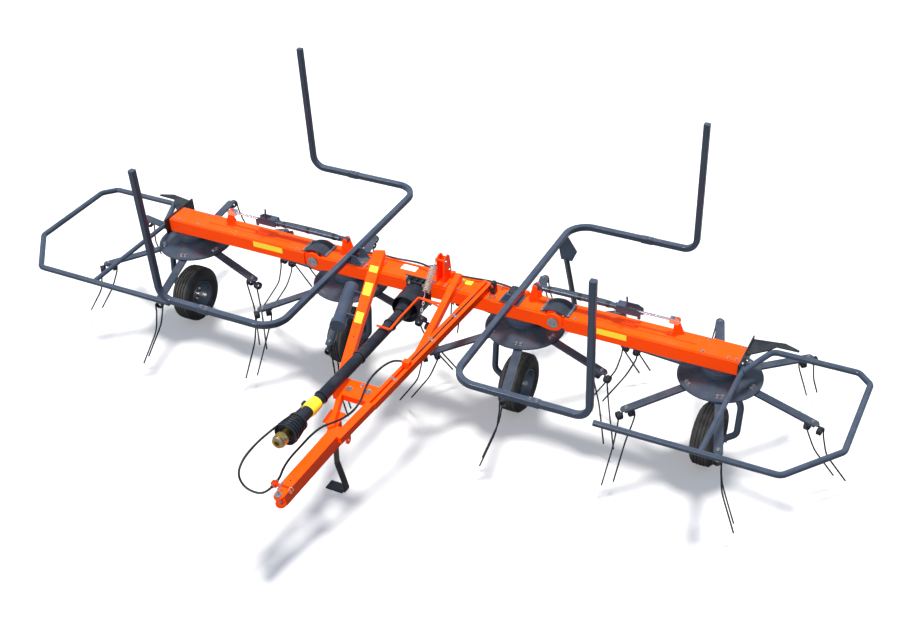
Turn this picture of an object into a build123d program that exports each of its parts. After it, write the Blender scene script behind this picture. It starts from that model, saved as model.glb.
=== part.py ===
"""Trailed four-rotor hay tedder, standing unfolded on its four wheels and its parking stand.

Frame: +Z up, the drawbar points along -Y, millimetres. The origin is on the ground, midway along and
across the machine. Shapes are modelled with Y counted from the main beam's centre line, and save()
moves them to BEAM_Y.
"""
from build123d import *
import math
import os

os.makedirs("parts", exist_ok=True)

# ---------------------------------------------------------------- driving dimensions
ROTOR_PITCH = 1310
INNER_X, OUTER_X = ROTOR_PITCH / 2, ROTOR_PITCH * 1.5
FRONT_REACH, REAR_REACH = 1990, 930        # from the beam's line to the hitch tip and to the rear guard
BEAM_Y = (FRONT_REACH - REAR_REACH) / 2
SIDES = (("left", -1), ("right", 1))
RUN = 0.06                                 # radial running clearance at pins and shafts

# main beam
BEAM_TOP, BEAM_H, BEAM_W, BEAM_WALL = 784, 95, 180, 6
BEAM_MID, BEAM_LOW = BEAM_TOP - BEAM_H / 2, BEAM_TOP - BEAM_H
LID_W, LID_T = 160, 4
CENTRE_W = 190                             # the centre section is wider, for its hinge ears
HINGE_X, HINGE_Z = 889, 738
EAR_R, EAR_T = 62, 12
PIN_R, PIN_HEAD_R, PIN_HEAD_T = 25, 36, 9
KNUCKLE_R, KNUCKLE_T, KNUCKLE_Y = 42, 16, 68
WING_START, WING_END = HINGE_X + 76, 2096

# wheels
TYRE_R, TYRE_W, RIM_R, RIM_W = 202.5, 160, 104, 130
WHEEL_Y = -120
AXLE_R = 12.5
LEG_R, LEG_OUT, LEG_TOP_Z = 21, 172, 500   # the bent wheel leg passes over the tyre and down beside it

# rotors
DISC_R, DISC_Z, DISC_T = 264, 592, 6
HUB_TOP, HUB_R, SPINDLE_R = 634, 78, 25
ARM_COUNT, ARM_W, ARM_T = 6, 56, 14
ARM_ROOT_R, ARM_BEND_R, ARM_TIP_R = 88, 235, 655
ARM_ROOT_Z, ARM_TIP_Z = 576, 532           # top face of the arm at its root and at its tip
COIL_R, WIRE_R, COIL_LEN = 28, 4.5, 34
COIL_Z = ARM_TIP_Z - ARM_T - COIL_R
TINE_ROOTS = (603, 683)                    # radius of each coil's middle
TINE_REACH, TINE_LEAN = 165, 105           # a tip stands this much further out, and this much ahead
TIP_Z = 85
# rotor: side, X, turning sense, phase in degrees
ROTORS = (
    ("outer_left", -OUTER_X, -1, 43),
    ("inner_left", -INNER_X, 1, 47),
    ("inner_right", INNER_X, -1, 43),
    ("outer_right", OUTER_X, 1, 47),
)

# guards
FRAME_Z, FRAME_TUBE = 830, 40
FRAME_IN_X, FRAME_OUT_X = 613, 1490
FRAME_FRONT_Y, FRAME_REAR_Y = -970, REAR_REACH - FRAME_TUBE / 2
FRAME_TOP = 1760
LOOP_Z, LOOP_R = 745, 19
PLATE_OUT = WING_END + 8                   # outer face of the plate on the wing beam's end

# lift cylinders
CYL_Y, CYL_Z, CYL_PIVOT_X, CYL_LUG_X = 60, 866, 705, 1650
BARREL_R, BARREL_END, ROD_R = 20, 1290, 8
CYL_PIN_R, CYL_EYE_R = 10, 22
FORK_DEPTH, FORK_GAP, FORK_CHEEK = 46, 11, 8   # the fork's cheeks stand clear of the lug between them
HOOK_GAP = FORK_GAP + FORK_CHEEK + 5           # the hook plates let the fork in between them

# drawbar: its members lie in one plane that falls towards the hitch; heights are counted from that plane
NOSE_Y, NOSE_Z, DRAW_SLOPE = -1880, 520, 0.1625
DRAW_TILT = math.atan(DRAW_SLOPE)
DRAW_H = 50                                # height of the legs
RAIL_W, RAIL_GAP = 23, 14                  # the right leg is two rails with a groove between them
RIGHT_TOP, RIGHT_FOOT = (389, 12), (118, -1474)
LEFT_TOP, LEFT_FOOT = (-440, 52), (-61, -1178)
LEFT_TOP_W, LEFT_FOOT_W = 78, 52
MIDDLE_TOP, MIDDLE_FOOT, MIDDLE_W = (172, 20), (252, -720), 42
PLATE_BACK, PLATE_FRONT, PLATE_T = -1045, -1174, 8
STRUT_TOP, STRUT_FOOT, STRUT_W = (-48, -1150), (64, -1490), 30
TONGUE_TOP, TONGUE_END, TONGUE_W, TONGUE_WALL = (86, -1400), (8, -1990), 76, 6
TONGUE_LOW, TONGUE_LID_END = -65, -1890    # its underside, and where its lid and left wall end
JAW_T, JAW_R, HITCH_R = 12, 31, 15
UPPER_JAW = 0                              # underside of the upper jaw
HITCH_Y = -FRONT_REACH + JAW_R * math.cos(DRAW_TILT) + (UPPER_JAW + JAW_T) * math.sin(DRAW_TILT)
HITCH_X = TONGUE_END[0] + (TONGUE_TOP[0] - TONGUE_END[0]) * (HITCH_Y - TONGUE_END[1]) / (TONGUE_TOP[1] - TONGUE_END[1])
LUG_X, LUG_Y, LUG_Z, LUG_BORE_R = 118, -1370, 500, 12

# power shaft
SHAFT_REAR = Vector(-70, -185, 696)
SHAFT_FRONT = Vector(-66, -1740, 751)
GUARD_R, SHIELD_R, SHIELD_LEN = 38, 98, 165
BOX_FRONT = -CENTRE_W / 2 - 34             # the gearbox's front face

# parking stand
STAND_X, STAND_Y, STAND_PIVOT_Z, STAND_PIN_R = -12, -1312, 505, 10
STAND_W, STAND_T = 45, 10

# hydraulic hoses: each route's points, laid over the beam, down the drawbar and round the nose
HOSE_R = 7
NOSE_BLOCK = (-68, -1881, 510)             # the block that holds the hose beside the tongue
HOSES = {
    "hose_drawbar": [
        (212, -827, 733), (168, -827, 733), (122, -862, 722), (94, -930, 709), (82, -1010, 697), (90, -1090, 684),
        (115, -1175, 674), (120, -1260, 657), (100, -1340, 652), (64, -1405, 650), (10, -1455, 640),
        (-35, -1520, 606), (-60, -1600, 573), (-82, -1690, 548), (-84, -1768, 524), (-68, -1826, 510),
        (-68, -1866, 510)],
    "hose_nose_loop": [
        (-68, -1896, 510), (-68, -1934, 510), (-118, -1964, 482), (-212, -1972, 500), (-262, -1956, 570),
        (-264, -1888, 630), (-232, -1790, 682), (-190, -1690, 716), (-150, -1590, 735), (-116, -1500, 742),
        (-116, -1445, 742)],
    "hose_beam_left": [
        (-630, 60, 797), (-578, 60, 797), (-496, 79, 799), (-412, 84, 799), (-328, 78, 800),
        (-240, 84, 804), (-154, 79, 812), (-78, 60, 815), (-30, 50, 810), (16, 50, 810)],
    "hose_beam_right": [
        (124, 50, 810), (168, 50, 810), (250, 70, 801), (336, 85, 799), (420, 86, 799),
        (498, 78, 800), (578, 60, 797), (630, 60, 797)],
}


# ---------------------------------------------------------------- helpers
def box(x0, x1, y0, y1, z0, z1):
    """A block between two corners."""
    middle = Pos((x0 + x1) / 2, (y0 + y1) / 2, (z0 + z1) / 2)
    return middle * Box(abs(x1 - x0), abs(y1 - y0), abs(z1 - z0))


def rod(start, end, radius):
    """A round bar from one point to another."""
    start, end = Vector(start), Vector(end)
    bar = Cylinder(radius, (end - start).length, align=(Align.CENTER, Align.CENTER, Align.MIN))
    return Plane(origin=start, z_dir=end - start) * bar


def swept(points, radii, section, x_dir=None):
    """A section carried along straight runs joined by tangent arcs."""
    path = FilletPolyline(*points, radius=radii)
    plane = Plane(origin=path @ 0, x_dir=x_dir, z_dir=path % 0)
    return sweep(plane * section, path=path)


def corner_radius(before, at, after):
    """The arc at a hose's corner: 0.45 of its shorter run over the tangent of half the turn."""
    before, at, after = Vector(before), Vector(at), Vector(after)
    turn = math.radians((at - before).get_angle(after - at))
    return 0.45 * min((at - before).length, (after - at).length) / math.tan(turn / 2)


def hose(points):
    """A hose's tube along straight runs joined by the largest arcs that they allow."""
    radii = [corner_radius(*points[i - 1:i + 2]) for i in range(1, len(points) - 1)]
    return swept(points, radii, Circle(HOSE_R)), radii


def plate_xz(points, y0, y1):
    """A plate with an outline in X and Z, between two Y places."""
    outline = make_face(Polyline(*points, close=True))
    plane = Plane(origin=(0, y1, 0), x_dir=(1, 0, 0), z_dir=(0, -1, 0))
    return extrude(plane * outline, y1 - y0)


def spun(points):
    """A solid of revolution about Z from an outline in radius and height."""
    outline = make_face(Polyline(*points, close=True))
    return revolve(Plane.XZ * outline, axis=Axis.Z)


def save(name, *solids):
    """Writes a node's solids, moved to the beam's place."""
    placed = [Pos(0, BEAM_Y, 0) * s for s in solids]
    loose = [one for shape in placed for one in shape.solids()]
    export_step(Compound(children=loose), f"parts/{name}.step")


def mirrored(shape, side):
    """The right-hand shape, or its mirror image for the left."""
    return shape if side > 0 else mirror(shape, about=Plane.YZ)


# ---------------------------------------------------------------- beam
def beam_box(x0, x1, width):
    """A folded channel closed by a lid: a box tube along X."""
    outer = box(x0, x1, -width / 2, width / 2, BEAM_LOW, BEAM_TOP - LID_T)
    half = width / 2 - BEAM_WALL
    inner = box(x0 - 1, x1 + 1, -half, half, BEAM_LOW + BEAM_WALL, BEAM_TOP - LID_T - BEAM_WALL)
    lid = box(x0, x1, -LID_W / 2, LID_W / 2, BEAM_TOP - LID_T, BEAM_TOP)
    return outer - inner + lid


def ear(side):
    """A hinge ear: the beam's side plate runs on round the pin and hangs below the beam."""
    start = HINGE_X - 175
    outline = [
        (start, BEAM_LOW), (HINGE_X - 95, BEAM_LOW), (HINGE_X - 40, HINGE_Z - EAR_R),
        (HINGE_X, HINGE_Z - EAR_R), (HINGE_X, HINGE_Z + BEAM_TOP - LID_T - HINGE_Z), (start, BEAM_TOP - LID_T),
    ]
    plate = plate_xz(outline, side * CENTRE_W / 2 - (EAR_T if side > 0 else 0),
                     side * CENTRE_W / 2 + (0 if side > 0 else EAR_T))
    y = side * (CENTRE_W / 2 - EAR_T / 2)
    round_end = Pos(HINGE_X, y, HINGE_Z) * Rot(90, 0, 0) * Cylinder(EAR_R, EAR_T)
    bore = Pos(HINGE_X, y, HINGE_Z) * Rot(90, 0, 0) * Cylinder(PIN_R, EAR_T + 2)
    return plate + round_end - bore


def centre_beam():
    """Centre section with its hinge ears and the two cylinder brackets."""
    beam = beam_box(-(HINGE_X - 62), HINGE_X - 62, CENTRE_W)
    bracket = plate_xz([(CYL_PIVOT_X - 42, BEAM_TOP), (CYL_PIVOT_X + 34, BEAM_TOP),
                        (CYL_PIVOT_X + 16, CYL_Z), (CYL_PIVOT_X - 16, CYL_Z)], -5, 5)
    bracket += Pos(CYL_PIVOT_X, 0, CYL_Z) * Rot(90, 0, 0) * Cylinder(18, 10)
    ears = ear(1) + ear(-1)
    cheeks = Pos(0, CYL_Y - 22, 0) * bracket + Pos(0, CYL_Y + 22, 0) * bracket
    pin = rod((CYL_PIVOT_X, CYL_Y - 32, CYL_Z), (CYL_PIVOT_X, CYL_Y + 32, CYL_Z), CYL_PIN_R)
    for side in (1, -1):
        beam += mirrored(ears + cheeks + pin, side)
    return beam


def hinge_pin():
    """A wing's hinge pin, with a round head at each end."""
    half = CENTRE_W / 2
    pin = rod((HINGE_X, -half, HINGE_Z), (HINGE_X, half, HINGE_Z), PIN_R)
    for end in (-1, 1):
        pin += rod((HINGE_X, end * half, HINGE_Z), (HINGE_X, end * (half + PIN_HEAD_T), HINGE_Z), PIN_HEAD_R)
    return pin


def wing_beam():
    """Right wing's beam, its two hinge knuckles and the lug of the lift cylinder."""
    beam = beam_box(WING_START, WING_END, BEAM_W)
    beam += box(WING_START, WING_START + 8, -BEAM_W / 2, BEAM_W / 2, BEAM_LOW, BEAM_TOP - LID_T)
    for end in (-1, 1):
        y = end * KNUCKLE_Y
        cheek = Pos(HINGE_X, y, HINGE_Z) * Rot(90, 0, 0) * Cylinder(KNUCKLE_R, KNUCKLE_T)
        cheek += box(HINGE_X, WING_START, y - KNUCKLE_T / 2, y + KNUCKLE_T / 2,
                     HINGE_Z - KNUCKLE_R, HINGE_Z + KNUCKLE_R)
        cheek -= Pos(HINGE_X, y, HINGE_Z) * Rot(90, 0, 0) * Cylinder(PIN_R + RUN, KNUCKLE_T + 2)
        beam += cheek
    lug = plate_xz([(CYL_LUG_X - 22, BEAM_TOP), (CYL_LUG_X + 52, BEAM_TOP),
                    (CYL_LUG_X + 15, CYL_Z), (CYL_LUG_X - 15, CYL_Z)], CYL_Y - 6, CYL_Y + 6)
    lug += Pos(CYL_LUG_X, CYL_Y, CYL_Z) * Rot(90, 0, 0) * Cylinder(16, 12)
    return beam + lug


# ---------------------------------------------------------------- rotors
def gearbox():
    """A rotor's gearbox under the beam: flange, neck and the dust skirt over the hub."""
    flange = [(0, BEAM_LOW), (118, BEAM_LOW), (118, BEAM_LOW - 10), (124, BEAM_LOW - 14),
              (124, HUB_TOP + 8), (112, HUB_TOP + 8), (106, BEAM_LOW - 22), (48, BEAM_LOW - 22),
              (48, HUB_TOP + 6), (0, HUB_TOP + 6)]
    return spun(flange)


def rotor(x, sense, phase):
    """Pressed disc, hub and the six arms bolted under it."""
    dish = spun([(SPINDLE_R + RUN, HUB_TOP), (HUB_R, HUB_TOP), (HUB_R + 30, HUB_TOP - 6),
                 (205, DISC_Z + 10), (DISC_R - 12, DISC_Z + 3), (DISC_R, DISC_Z - 4),
                 (DISC_R, DISC_Z - 12), (DISC_R - 6, DISC_Z - 12), (DISC_R - 14, DISC_Z - 4),
                 (204, DISC_Z + 3), (HUB_R + 28, HUB_TOP - 13), (HUB_R, ARM_ROOT_Z),
                 (HUB_R, ARM_ROOT_Z - 22), (SPINDLE_R + RUN, ARM_ROOT_Z - 22)])
    side_view = [(ARM_ROOT_R - 14, ARM_ROOT_Z), (ARM_BEND_R, ARM_ROOT_Z + 3), (ARM_TIP_R, ARM_TIP_Z),
                 (ARM_TIP_R, ARM_TIP_Z - ARM_T), (ARM_BEND_R, ARM_ROOT_Z + 3 - ARM_T),
                 (ARM_ROOT_R - 14, ARM_ROOT_Z - ARM_T)]
    arm = plate_xz(side_view, -ARM_W / 2, ARM_W / 2)
    arm += box(160, ARM_BEND_R - 5, -ARM_W / 2, ARM_W / 2, ARM_ROOT_Z - 2, DISC_Z + 2) & spun(
        [(0, HUB_TOP - 8), (HUB_R + 28, HUB_TOP - 14), (204, DISC_Z + 2), (DISC_R - 14, DISC_Z - 6), (DISC_R, 500), (0, 500)])
    body = dish
    for i in range(ARM_COUNT):
        body += Rot(0, 0, phase + i * 360 / ARM_COUNT) * arm
    return Pos(x, 0, 0) * body


def double_tine(sense):
    """Two sprung tines on one arm: coils side by side and a wire hanging from each."""
    coil = Cylinder(COIL_R, COIL_LEN, rotation=(0, 90, 0)) - Cylinder(COIL_R - 9, COIL_LEN + 2, rotation=(0, 90, 0))
    mid = COIL_R - WIRE_R
    tine = None
    for r in TINE_ROOTS:
        start = Vector(r, sense * mid, COIL_Z)
        knee = Vector(r + TINE_REACH * 0.30, sense * (mid + TINE_LEAN * 0.15), COIL_Z - 190)
        tip = Vector(r + TINE_REACH, sense * (mid + TINE_LEAN), TIP_Z)
        wire = swept([start, knee, tip], 160, Circle(WIRE_R))
        one = Pos(r, 0, COIL_Z) * coil + wire
        tine = one if tine is None else tine + one
    bar = box(TINE_ROOTS[0], TINE_ROOTS[1], -4, 4, COIL_Z + mid - 4, COIL_Z + mid + 4)
    return tine + bar


def tines(x, sense, phase):
    """The six double tines of a rotor."""
    tine = double_tine(sense)
    return [Pos(x, 0, 0) * Rot(0, 0, phase + i * 360 / ARM_COUNT) * tine for i in range(ARM_COUNT)]


# ---------------------------------------------------------------- wheels
def tyre(x):
    """A tyre with round shoulders, open in the middle."""
    half = TYRE_W / 2
    with BuildSketch() as section:
        with BuildLine():
            Polyline((RIM_R, -half + 22), (RIM_R + 22, -half + 4), (TYRE_R - 52, -half + 1))
            TangentArc((TYRE_R - 52, -half + 1), (TYRE_R - 8, -half + 28), tangent=(1, 0))
            Polyline((TYRE_R - 8, -half + 28), (TYRE_R, -half + 44), (TYRE_R, half - 44), (TYRE_R - 8, half - 28))
            TangentArc((TYRE_R - 52, half - 1), (TYRE_R - 8, half - 28), tangent=(1, 0))
            Polyline((TYRE_R - 52, half - 1), (RIM_R + 22, half - 4), (RIM_R, half - 22), (RIM_R, -half + 22))
        make_face()
    return Pos(x, WHEEL_Y, TYRE_R) * Rot(0, 90, 0) * revolve(Plane.XZ * section.sketch, axis=Axis.Z)


def rim(x):
    """A dished steel wheel with its hub."""
    half = RIM_W / 2
    dish = spun([(AXLE_R + RUN, -30), (30, -30), (34, -14), (70, -14), (82, -half + 12), (RIM_R - 8, -half),
                 (RIM_R, -half), (RIM_R, half), (RIM_R - 6, half), (88, half - 30), (84, -20), (72, -4),
                 (34, -4), (30, 34), (AXLE_R + RUN, 34)])
    holes = PolarLocations(52, 5) * Cylinder(8, 60)
    return Pos(x, WHEEL_Y, TYRE_R) * Rot(0, 90, 0) * (dish - holes)


def wheel_leg(x, outward):
    """Fixed spindle through the rotor, the leg bent over the tyre, and the wheel's stub axle."""
    column = rod((x, 0, LEG_TOP_Z - 30), (x, 0, HUB_TOP + 6), SPINDLE_R)
    collar = rod((x, 0, LEG_TOP_Z - 30), (x, 0, LEG_TOP_Z + 30), 36)
    out = x + outward * LEG_OUT
    bend = [(x, 0, LEG_TOP_Z), (out, WHEEL_Y * 0.7, LEG_TOP_Z), (out, WHEEL_Y, TYRE_R + 60),
            (x + outward * 100, WHEEL_Y, TYRE_R)]
    tube = swept(bend, [70, 60], Circle(LEG_R))
    stub = rod((x + outward * 96, WHEEL_Y, TYRE_R), (x - outward * 36, WHEEL_Y, TYRE_R), AXLE_R)
    boss = rod((x + outward * 118, WHEEL_Y, TYRE_R), (x + outward * 72, WHEEL_Y, TYRE_R), 24)
    return column + collar + tube + stub + boss


# ---------------------------------------------------------------- guards
def square_tube(size):
    """The section of the centre guards' tube."""
    return RectangleRounded(size, size, 7)


def centre_guard():
    """Right centre guard: a level C of square tube whose two ends turn up as tall uprights."""
    corners = [
        (FRAME_OUT_X, FRAME_FRONT_Y, FRAME_TOP), (FRAME_OUT_X, FRAME_FRONT_Y, FRAME_Z),
        (FRAME_IN_X, FRAME_FRONT_Y, FRAME_Z), (FRAME_IN_X, FRAME_REAR_Y, FRAME_Z),
        (FRAME_OUT_X, FRAME_REAR_Y, FRAME_Z), (FRAME_OUT_X, FRAME_REAR_Y, FRAME_TOP),
    ]
    return swept(corners, [90, 150, 150, 90], square_tube(FRAME_TUBE), x_dir=(1, 0, 0))


def guard_mount():
    """Right mount: a bolted foot plate on the beam and two cheeks that hold the guard's tube."""
    low = BEAM_TOP
    foot = box(FRAME_IN_X - 108, FRAME_IN_X + 34, -84, 40, low, low + 6)
    cheek = plate_xz([(FRAME_IN_X - 100, low + 6), (FRAME_IN_X - 30, low + 6),
                      (FRAME_IN_X - FRAME_TUBE / 2, low + 18), (FRAME_IN_X - FRAME_TUBE / 2, low + 66),
                      (FRAME_IN_X - 60, low + 66)], -6, 0)
    return foot + Pos(0, 34, 0) * cheek + Pos(0, -70, 0) * cheek


def side_post():
    """Plate under the right centre guard, and the post that leans back from it behind the tines."""
    y, low = 760, FRAME_Z - FRAME_TUBE / 2
    plate = plate_xz([(556, low - 40), (592, low), (634, low), (700, low - 100), (664, low - 184), (582, low - 184)],
                     y - 4, y + 4)
    return plate + rod((617, y + 4, low - 170), (640, 905, 99), 12)


def wing_guard():
    """Right wing's guard loop and its strut."""
    y_rear, y_front = 150, -905
    loop = [(PLATE_OUT + LOOP_R, -120, LOOP_Z), (2235, y_rear, LOOP_Z), (2755, y_rear, LOOP_Z), (2840, 65, LOOP_Z),
            (2840, -575, LOOP_Z), (2575, y_front, LOOP_Z), (FRAME_OUT_X, y_front, LOOP_Z)]
    tube = swept(loop, [60, 45, 45, 60, 60], Circle(LOOP_R))
    strut = rod((PLATE_OUT + 16, -80, LOOP_Z), (PLATE_OUT + 16, y_front, LOOP_Z), 16)
    return tube + strut


def wing_bracket():
    """Right wing's end plate with the tapered arm that carries the guard loop."""
    plate = box(WING_END, WING_END + 8, -135, 195, BEAM_LOW - 12, BEAM_TOP + 14)
    arm_low = make_face(Polyline((WING_END + 8, 20), (WING_END + 8, 195), (2290, 225), (2385, 190), (2385, 176),
                                 (2250, 172), (2215, 120), close=True))
    web = extrude(Pos(0, 0, LOOP_Z + LOOP_R) * arm_low, 8)
    return plate + web


# ---------------------------------------------------------------- lift cylinders
def barrel():
    """Right cylinder's barrel with its eye, gland, lock hook and lever."""
    eye = Pos(CYL_PIVOT_X, CYL_Y, CYL_Z) * Rot(90, 0, 0) * Cylinder(CYL_EYE_R, 24)
    eye += box(CYL_PIVOT_X, CYL_PIVOT_X + 52, CYL_Y - 12, CYL_Y + 12, CYL_Z - 16, CYL_Z + 16)
    tube = rod((CYL_PIVOT_X + 46, CYL_Y, CYL_Z), (BARREL_END, CYL_Y, CYL_Z), BARREL_R)
    gland = rod((BARREL_END - 44, CYL_Y, CYL_Z), (BARREL_END, CYL_Y, CYL_Z), BARREL_R + 5)
    body = eye + tube + gland
    hook = plate_xz([(BARREL_END - 30, CYL_Z - 22), (BARREL_END + 112, CYL_Z - 22), (BARREL_END + 112, CYL_Z - 38),
                     (BARREL_END + 132, CYL_Z - 38), (BARREL_END + 132, CYL_Z + 12), (BARREL_END + 96, CYL_Z + 31),
                     (BARREL_END - 30, CYL_Z + 31)], 0, 6)
    body += Pos(0, CYL_Y + HOOK_GAP, 0) * hook + Pos(0, CYL_Y - HOOK_GAP - 6, 0) * hook
    body += box(BARREL_END - 30, BARREL_END + 25, CYL_Y - HOOK_GAP, CYL_Y + HOOK_GAP, CYL_Z + 25, CYL_Z + 31)
    lever_y = CYL_Y - HOOK_GAP - 3
    body += rod((BARREL_END + 46, lever_y, CYL_Z + 24), (BARREL_END + 38, lever_y, CYL_Z + 108), 6)
    body -= rod((CYL_PIVOT_X + 60, CYL_Y, CYL_Z), (BARREL_END + 1, CYL_Y, CYL_Z), ROD_R + RUN)
    body -= Pos(CYL_PIVOT_X, CYL_Y, CYL_Z) * Rot(90, 0, 0) * Cylinder(CYL_PIN_R + RUN, 30)
    return body


def piston_rod():
    """Right cylinder's rod with the fork that straddles the wing's lug."""
    root = CYL_LUG_X - FORK_DEPTH
    half = FORK_GAP + FORK_CHEEK
    body = rod((BARREL_END - 200, CYL_Y, CYL_Z), (root + 2, CYL_Y, CYL_Z), ROD_R)
    body += box(root, root + 14, CYL_Y - half, CYL_Y + half, CYL_Z - 18, CYL_Z + 18)
    for end in (-1, 1):
        y = CYL_Y + end * (FORK_GAP + FORK_CHEEK / 2)
        cheek = box(root, CYL_LUG_X, y - FORK_CHEEK / 2, y + FORK_CHEEK / 2, CYL_Z - 17, CYL_Z + 17)
        cheek += Pos(CYL_LUG_X, y, CYL_Z) * Rot(90, 0, 0) * Cylinder(19, FORK_CHEEK)
        body += cheek
    return body


# ---------------------------------------------------------------- drawbar
def draw_plane():
    """The plane that both legs' axes lie in, its origin under the beam's line, its Y along the legs."""
    normal = Vector(0, -DRAW_SLOPE, 1).normalized()
    return Plane(origin=(0, 0, NOSE_Z - DRAW_SLOPE * NOSE_Y), x_dir=(1, 0, 0), z_dir=normal)


def along(y):
    """Distance in the drawbar's plane of a place Y in the model."""
    return y / math.cos(DRAW_TILT)


def strip(start, end, width, end_width=None):
    """A bar's outline in the drawbar's plane, between two places, square or tapered."""
    start, end = Vector(start[0], along(start[1])), Vector(end[0], along(end[1]))
    ahead = (end - start).normalized()
    aside = Vector(-ahead.Y, ahead.X)
    near, far = aside * (width / 2), aside * ((end_width or width) / 2)
    corners = [start + near, end + far, end - far, start - near]
    return make_face(Polyline(*[(c.X, c.Y) for c in corners], close=True))


def in_draw_plane(outline, low, high):
    """An outline of the drawbar's plane as a solid between two heights over it."""
    return draw_plane() * (Pos(0, 0, low) * extrude(outline, high - low))


def leg_foot(x, half_width):
    """A foot on the beam: a flange and the wedge that fills up to the leg's underside."""
    foot = box(x - half_width, x + half_width, -92, 34, BEAM_TOP, BEAM_TOP + 8)
    foot += box(x - half_width + 16, x + half_width - 16, -92, 20, BEAM_TOP, BEAM_TOP + 60)
    return foot - in_draw_plane(Rectangle(2000, 2000), -DRAW_H / 2, 200)


def tongue_outline(width):
    """The tongue's outline in the drawbar's plane."""
    return strip(TONGUE_TOP, TONGUE_END, width)


def right_leg():
    """Right leg: two rails with a groove for the hoses, one box below the cross plate, and the lug."""
    shift, half = (RAIL_W + RAIL_GAP) / 2, DRAW_H / 2
    width = 2 * RAIL_W + RAIL_GAP
    whole = strip(RIGHT_TOP, RIGHT_FOOT, width)
    groove = strip(RIGHT_TOP, RIGHT_FOOT, RAIL_GAP)
    below = Pos(0, along(PLATE_FRONT) - 1000) * Rectangle(3000, 2000)
    body = in_draw_plane(whole - groove - below, -half, half) + in_draw_plane(groove - below, -half, -half + 10)
    body += in_draw_plane(strip(RIGHT_TOP, RIGHT_FOOT, width - 8) & below, -half, half)
    x, y, z = HOSES["hose_drawbar"][0]
    body += box(x, x + 48, y - 20, y + 20, z - 30, z + 14)
    lug = box(LUG_X - 5, LUG_X + 5, LUG_Y - 24, LUG_Y + 24, LUG_Z, 620)
    lug += Pos(LUG_X, LUG_Y, LUG_Z) * Rot(0, 90, 0) * Cylinder(24, 10)
    lug -= Pos(LUG_X, LUG_Y, LUG_Z) * Rot(0, 90, 0) * Cylinder(LUG_BORE_R, 12)
    body += lug - in_draw_plane(Rectangle(4000, 6000), -half, 200)
    return body + leg_foot(RIGHT_TOP[0], 58) - in_draw_plane(tongue_outline(TONGUE_W), -90, 90)


def left_leg():
    """Left leg: one tapered box from the beam to the cross plate, then the narrow strut to the tongue."""
    half = DRAW_H / 2
    body = in_draw_plane(strip(LEFT_TOP, LEFT_FOOT, LEFT_TOP_W, LEFT_FOOT_W), -half, half)
    body += in_draw_plane(strip(STRUT_TOP, STRUT_FOOT, STRUT_W), -half, half)
    return body + leg_foot(LEFT_TOP[0] + 6, 54) - in_draw_plane(tongue_outline(TONGUE_W), -90, 90)


def middle_leg():
    """Short middle leg, from the beam to the side of the right leg."""
    half = DRAW_H / 2
    body = in_draw_plane(strip(MIDDLE_TOP, MIDDLE_FOOT, MIDDLE_W), -half, half) + leg_foot(MIDDLE_TOP[0] + 4, 38)
    body += spring_bar()
    return body - in_draw_plane(strip(RIGHT_TOP, RIGHT_FOOT, 2 * RAIL_W + RAIL_GAP), -90, 90)


def cross_plate():
    """The two plates between the legs, flush with their tops and with their undersides."""
    outline = make_face(Polyline((-110, along(PLATE_BACK)), (200, along(PLATE_BACK)), (178, along(PLATE_FRONT)),
                                 (-60, along(PLATE_FRONT)), close=True))
    outline -= strip(RIGHT_TOP, RIGHT_FOOT, 2 * RAIL_W + RAIL_GAP)
    outline -= strip(LEFT_TOP, LEFT_FOOT, LEFT_TOP_W, LEFT_FOOT_W)
    outline -= strip(STRUT_TOP, STRUT_FOOT, STRUT_W)
    outline = max(outline.faces(), key=lambda face: face.area)
    half = DRAW_H / 2
    return [in_draw_plane(outline, half - PLATE_T, half), in_draw_plane(outline, -half, -half + PLATE_T)]


def tongue():
    """The tongue's box: past its lid and left wall, the right wall and the floor run on to the nose."""
    half, inner = DRAW_H / 2, TONGUE_W - 2 * TONGUE_WALL
    body = in_draw_plane(tongue_outline(TONGUE_W), TONGUE_LOW, half)
    body -= in_draw_plane(tongue_outline(inner), TONGUE_LOW + JAW_T, half - TONGUE_WALL)
    open_nose = Pos(HITCH_X, along(TONGUE_LID_END) - 500) * Rectangle(600, 1000)
    left_of = strip((TONGUE_TOP[0] - TONGUE_WALL - 2, TONGUE_TOP[1]), (TONGUE_END[0] - TONGUE_WALL - 2, TONGUE_END[1] - 40), TONGUE_W)
    body -= in_draw_plane(open_nose & left_of, TONGUE_LOW + JAW_T, half)
    body -= in_draw_plane(open_nose, half - TONGUE_WALL, half)
    nose = Pos(HITCH_X, along(HITCH_Y))
    round_off = Pos(HITCH_X, along(HITCH_Y) - 250) * Rectangle(600, 500) - nose * Circle(JAW_R + 3)
    body -= in_draw_plane(round_off, TONGUE_LOW - 1, half + 1)
    body -= in_draw_plane(nose * Circle(HITCH_R), TONGUE_LOW - 1, half + 1)
    back_wall = Pos(0, along(TONGUE_TOP[1]) - 12) * Rectangle(600, 8) & tongue_outline(inner)
    body += in_draw_plane(back_wall, TONGUE_LOW + JAW_T, half - TONGUE_WALL)
    x, y, z = NOSE_BLOCK
    holder = box(x - 16, x + 16, y - 15, y + 15, z - 16, z + 16) + box(x + 16, x + 62, y - 5, y + 9, z - 10, z + 10)
    return body + (holder - in_draw_plane(tongue_outline(TONGUE_W), TONGUE_LOW, half))


def upper_jaw():
    """The clevis's upper jaw, seated between the tongue's walls."""
    nose = along(HITCH_Y)
    inner = TONGUE_W - 2 * TONGUE_WALL
    tail = strip((HITCH_X + 20, -1760), (HITCH_X, HITCH_Y), inner) & tongue_outline(inner)
    jaw = tail - Pos(HITCH_X, nose - 250) * Rectangle(600, 500) + Pos(HITCH_X, nose) * Circle(JAW_R)
    return in_draw_plane(jaw - Pos(HITCH_X, nose) * Circle(HITCH_R), UPPER_JAW, UPPER_JAW + JAW_T)


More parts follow.
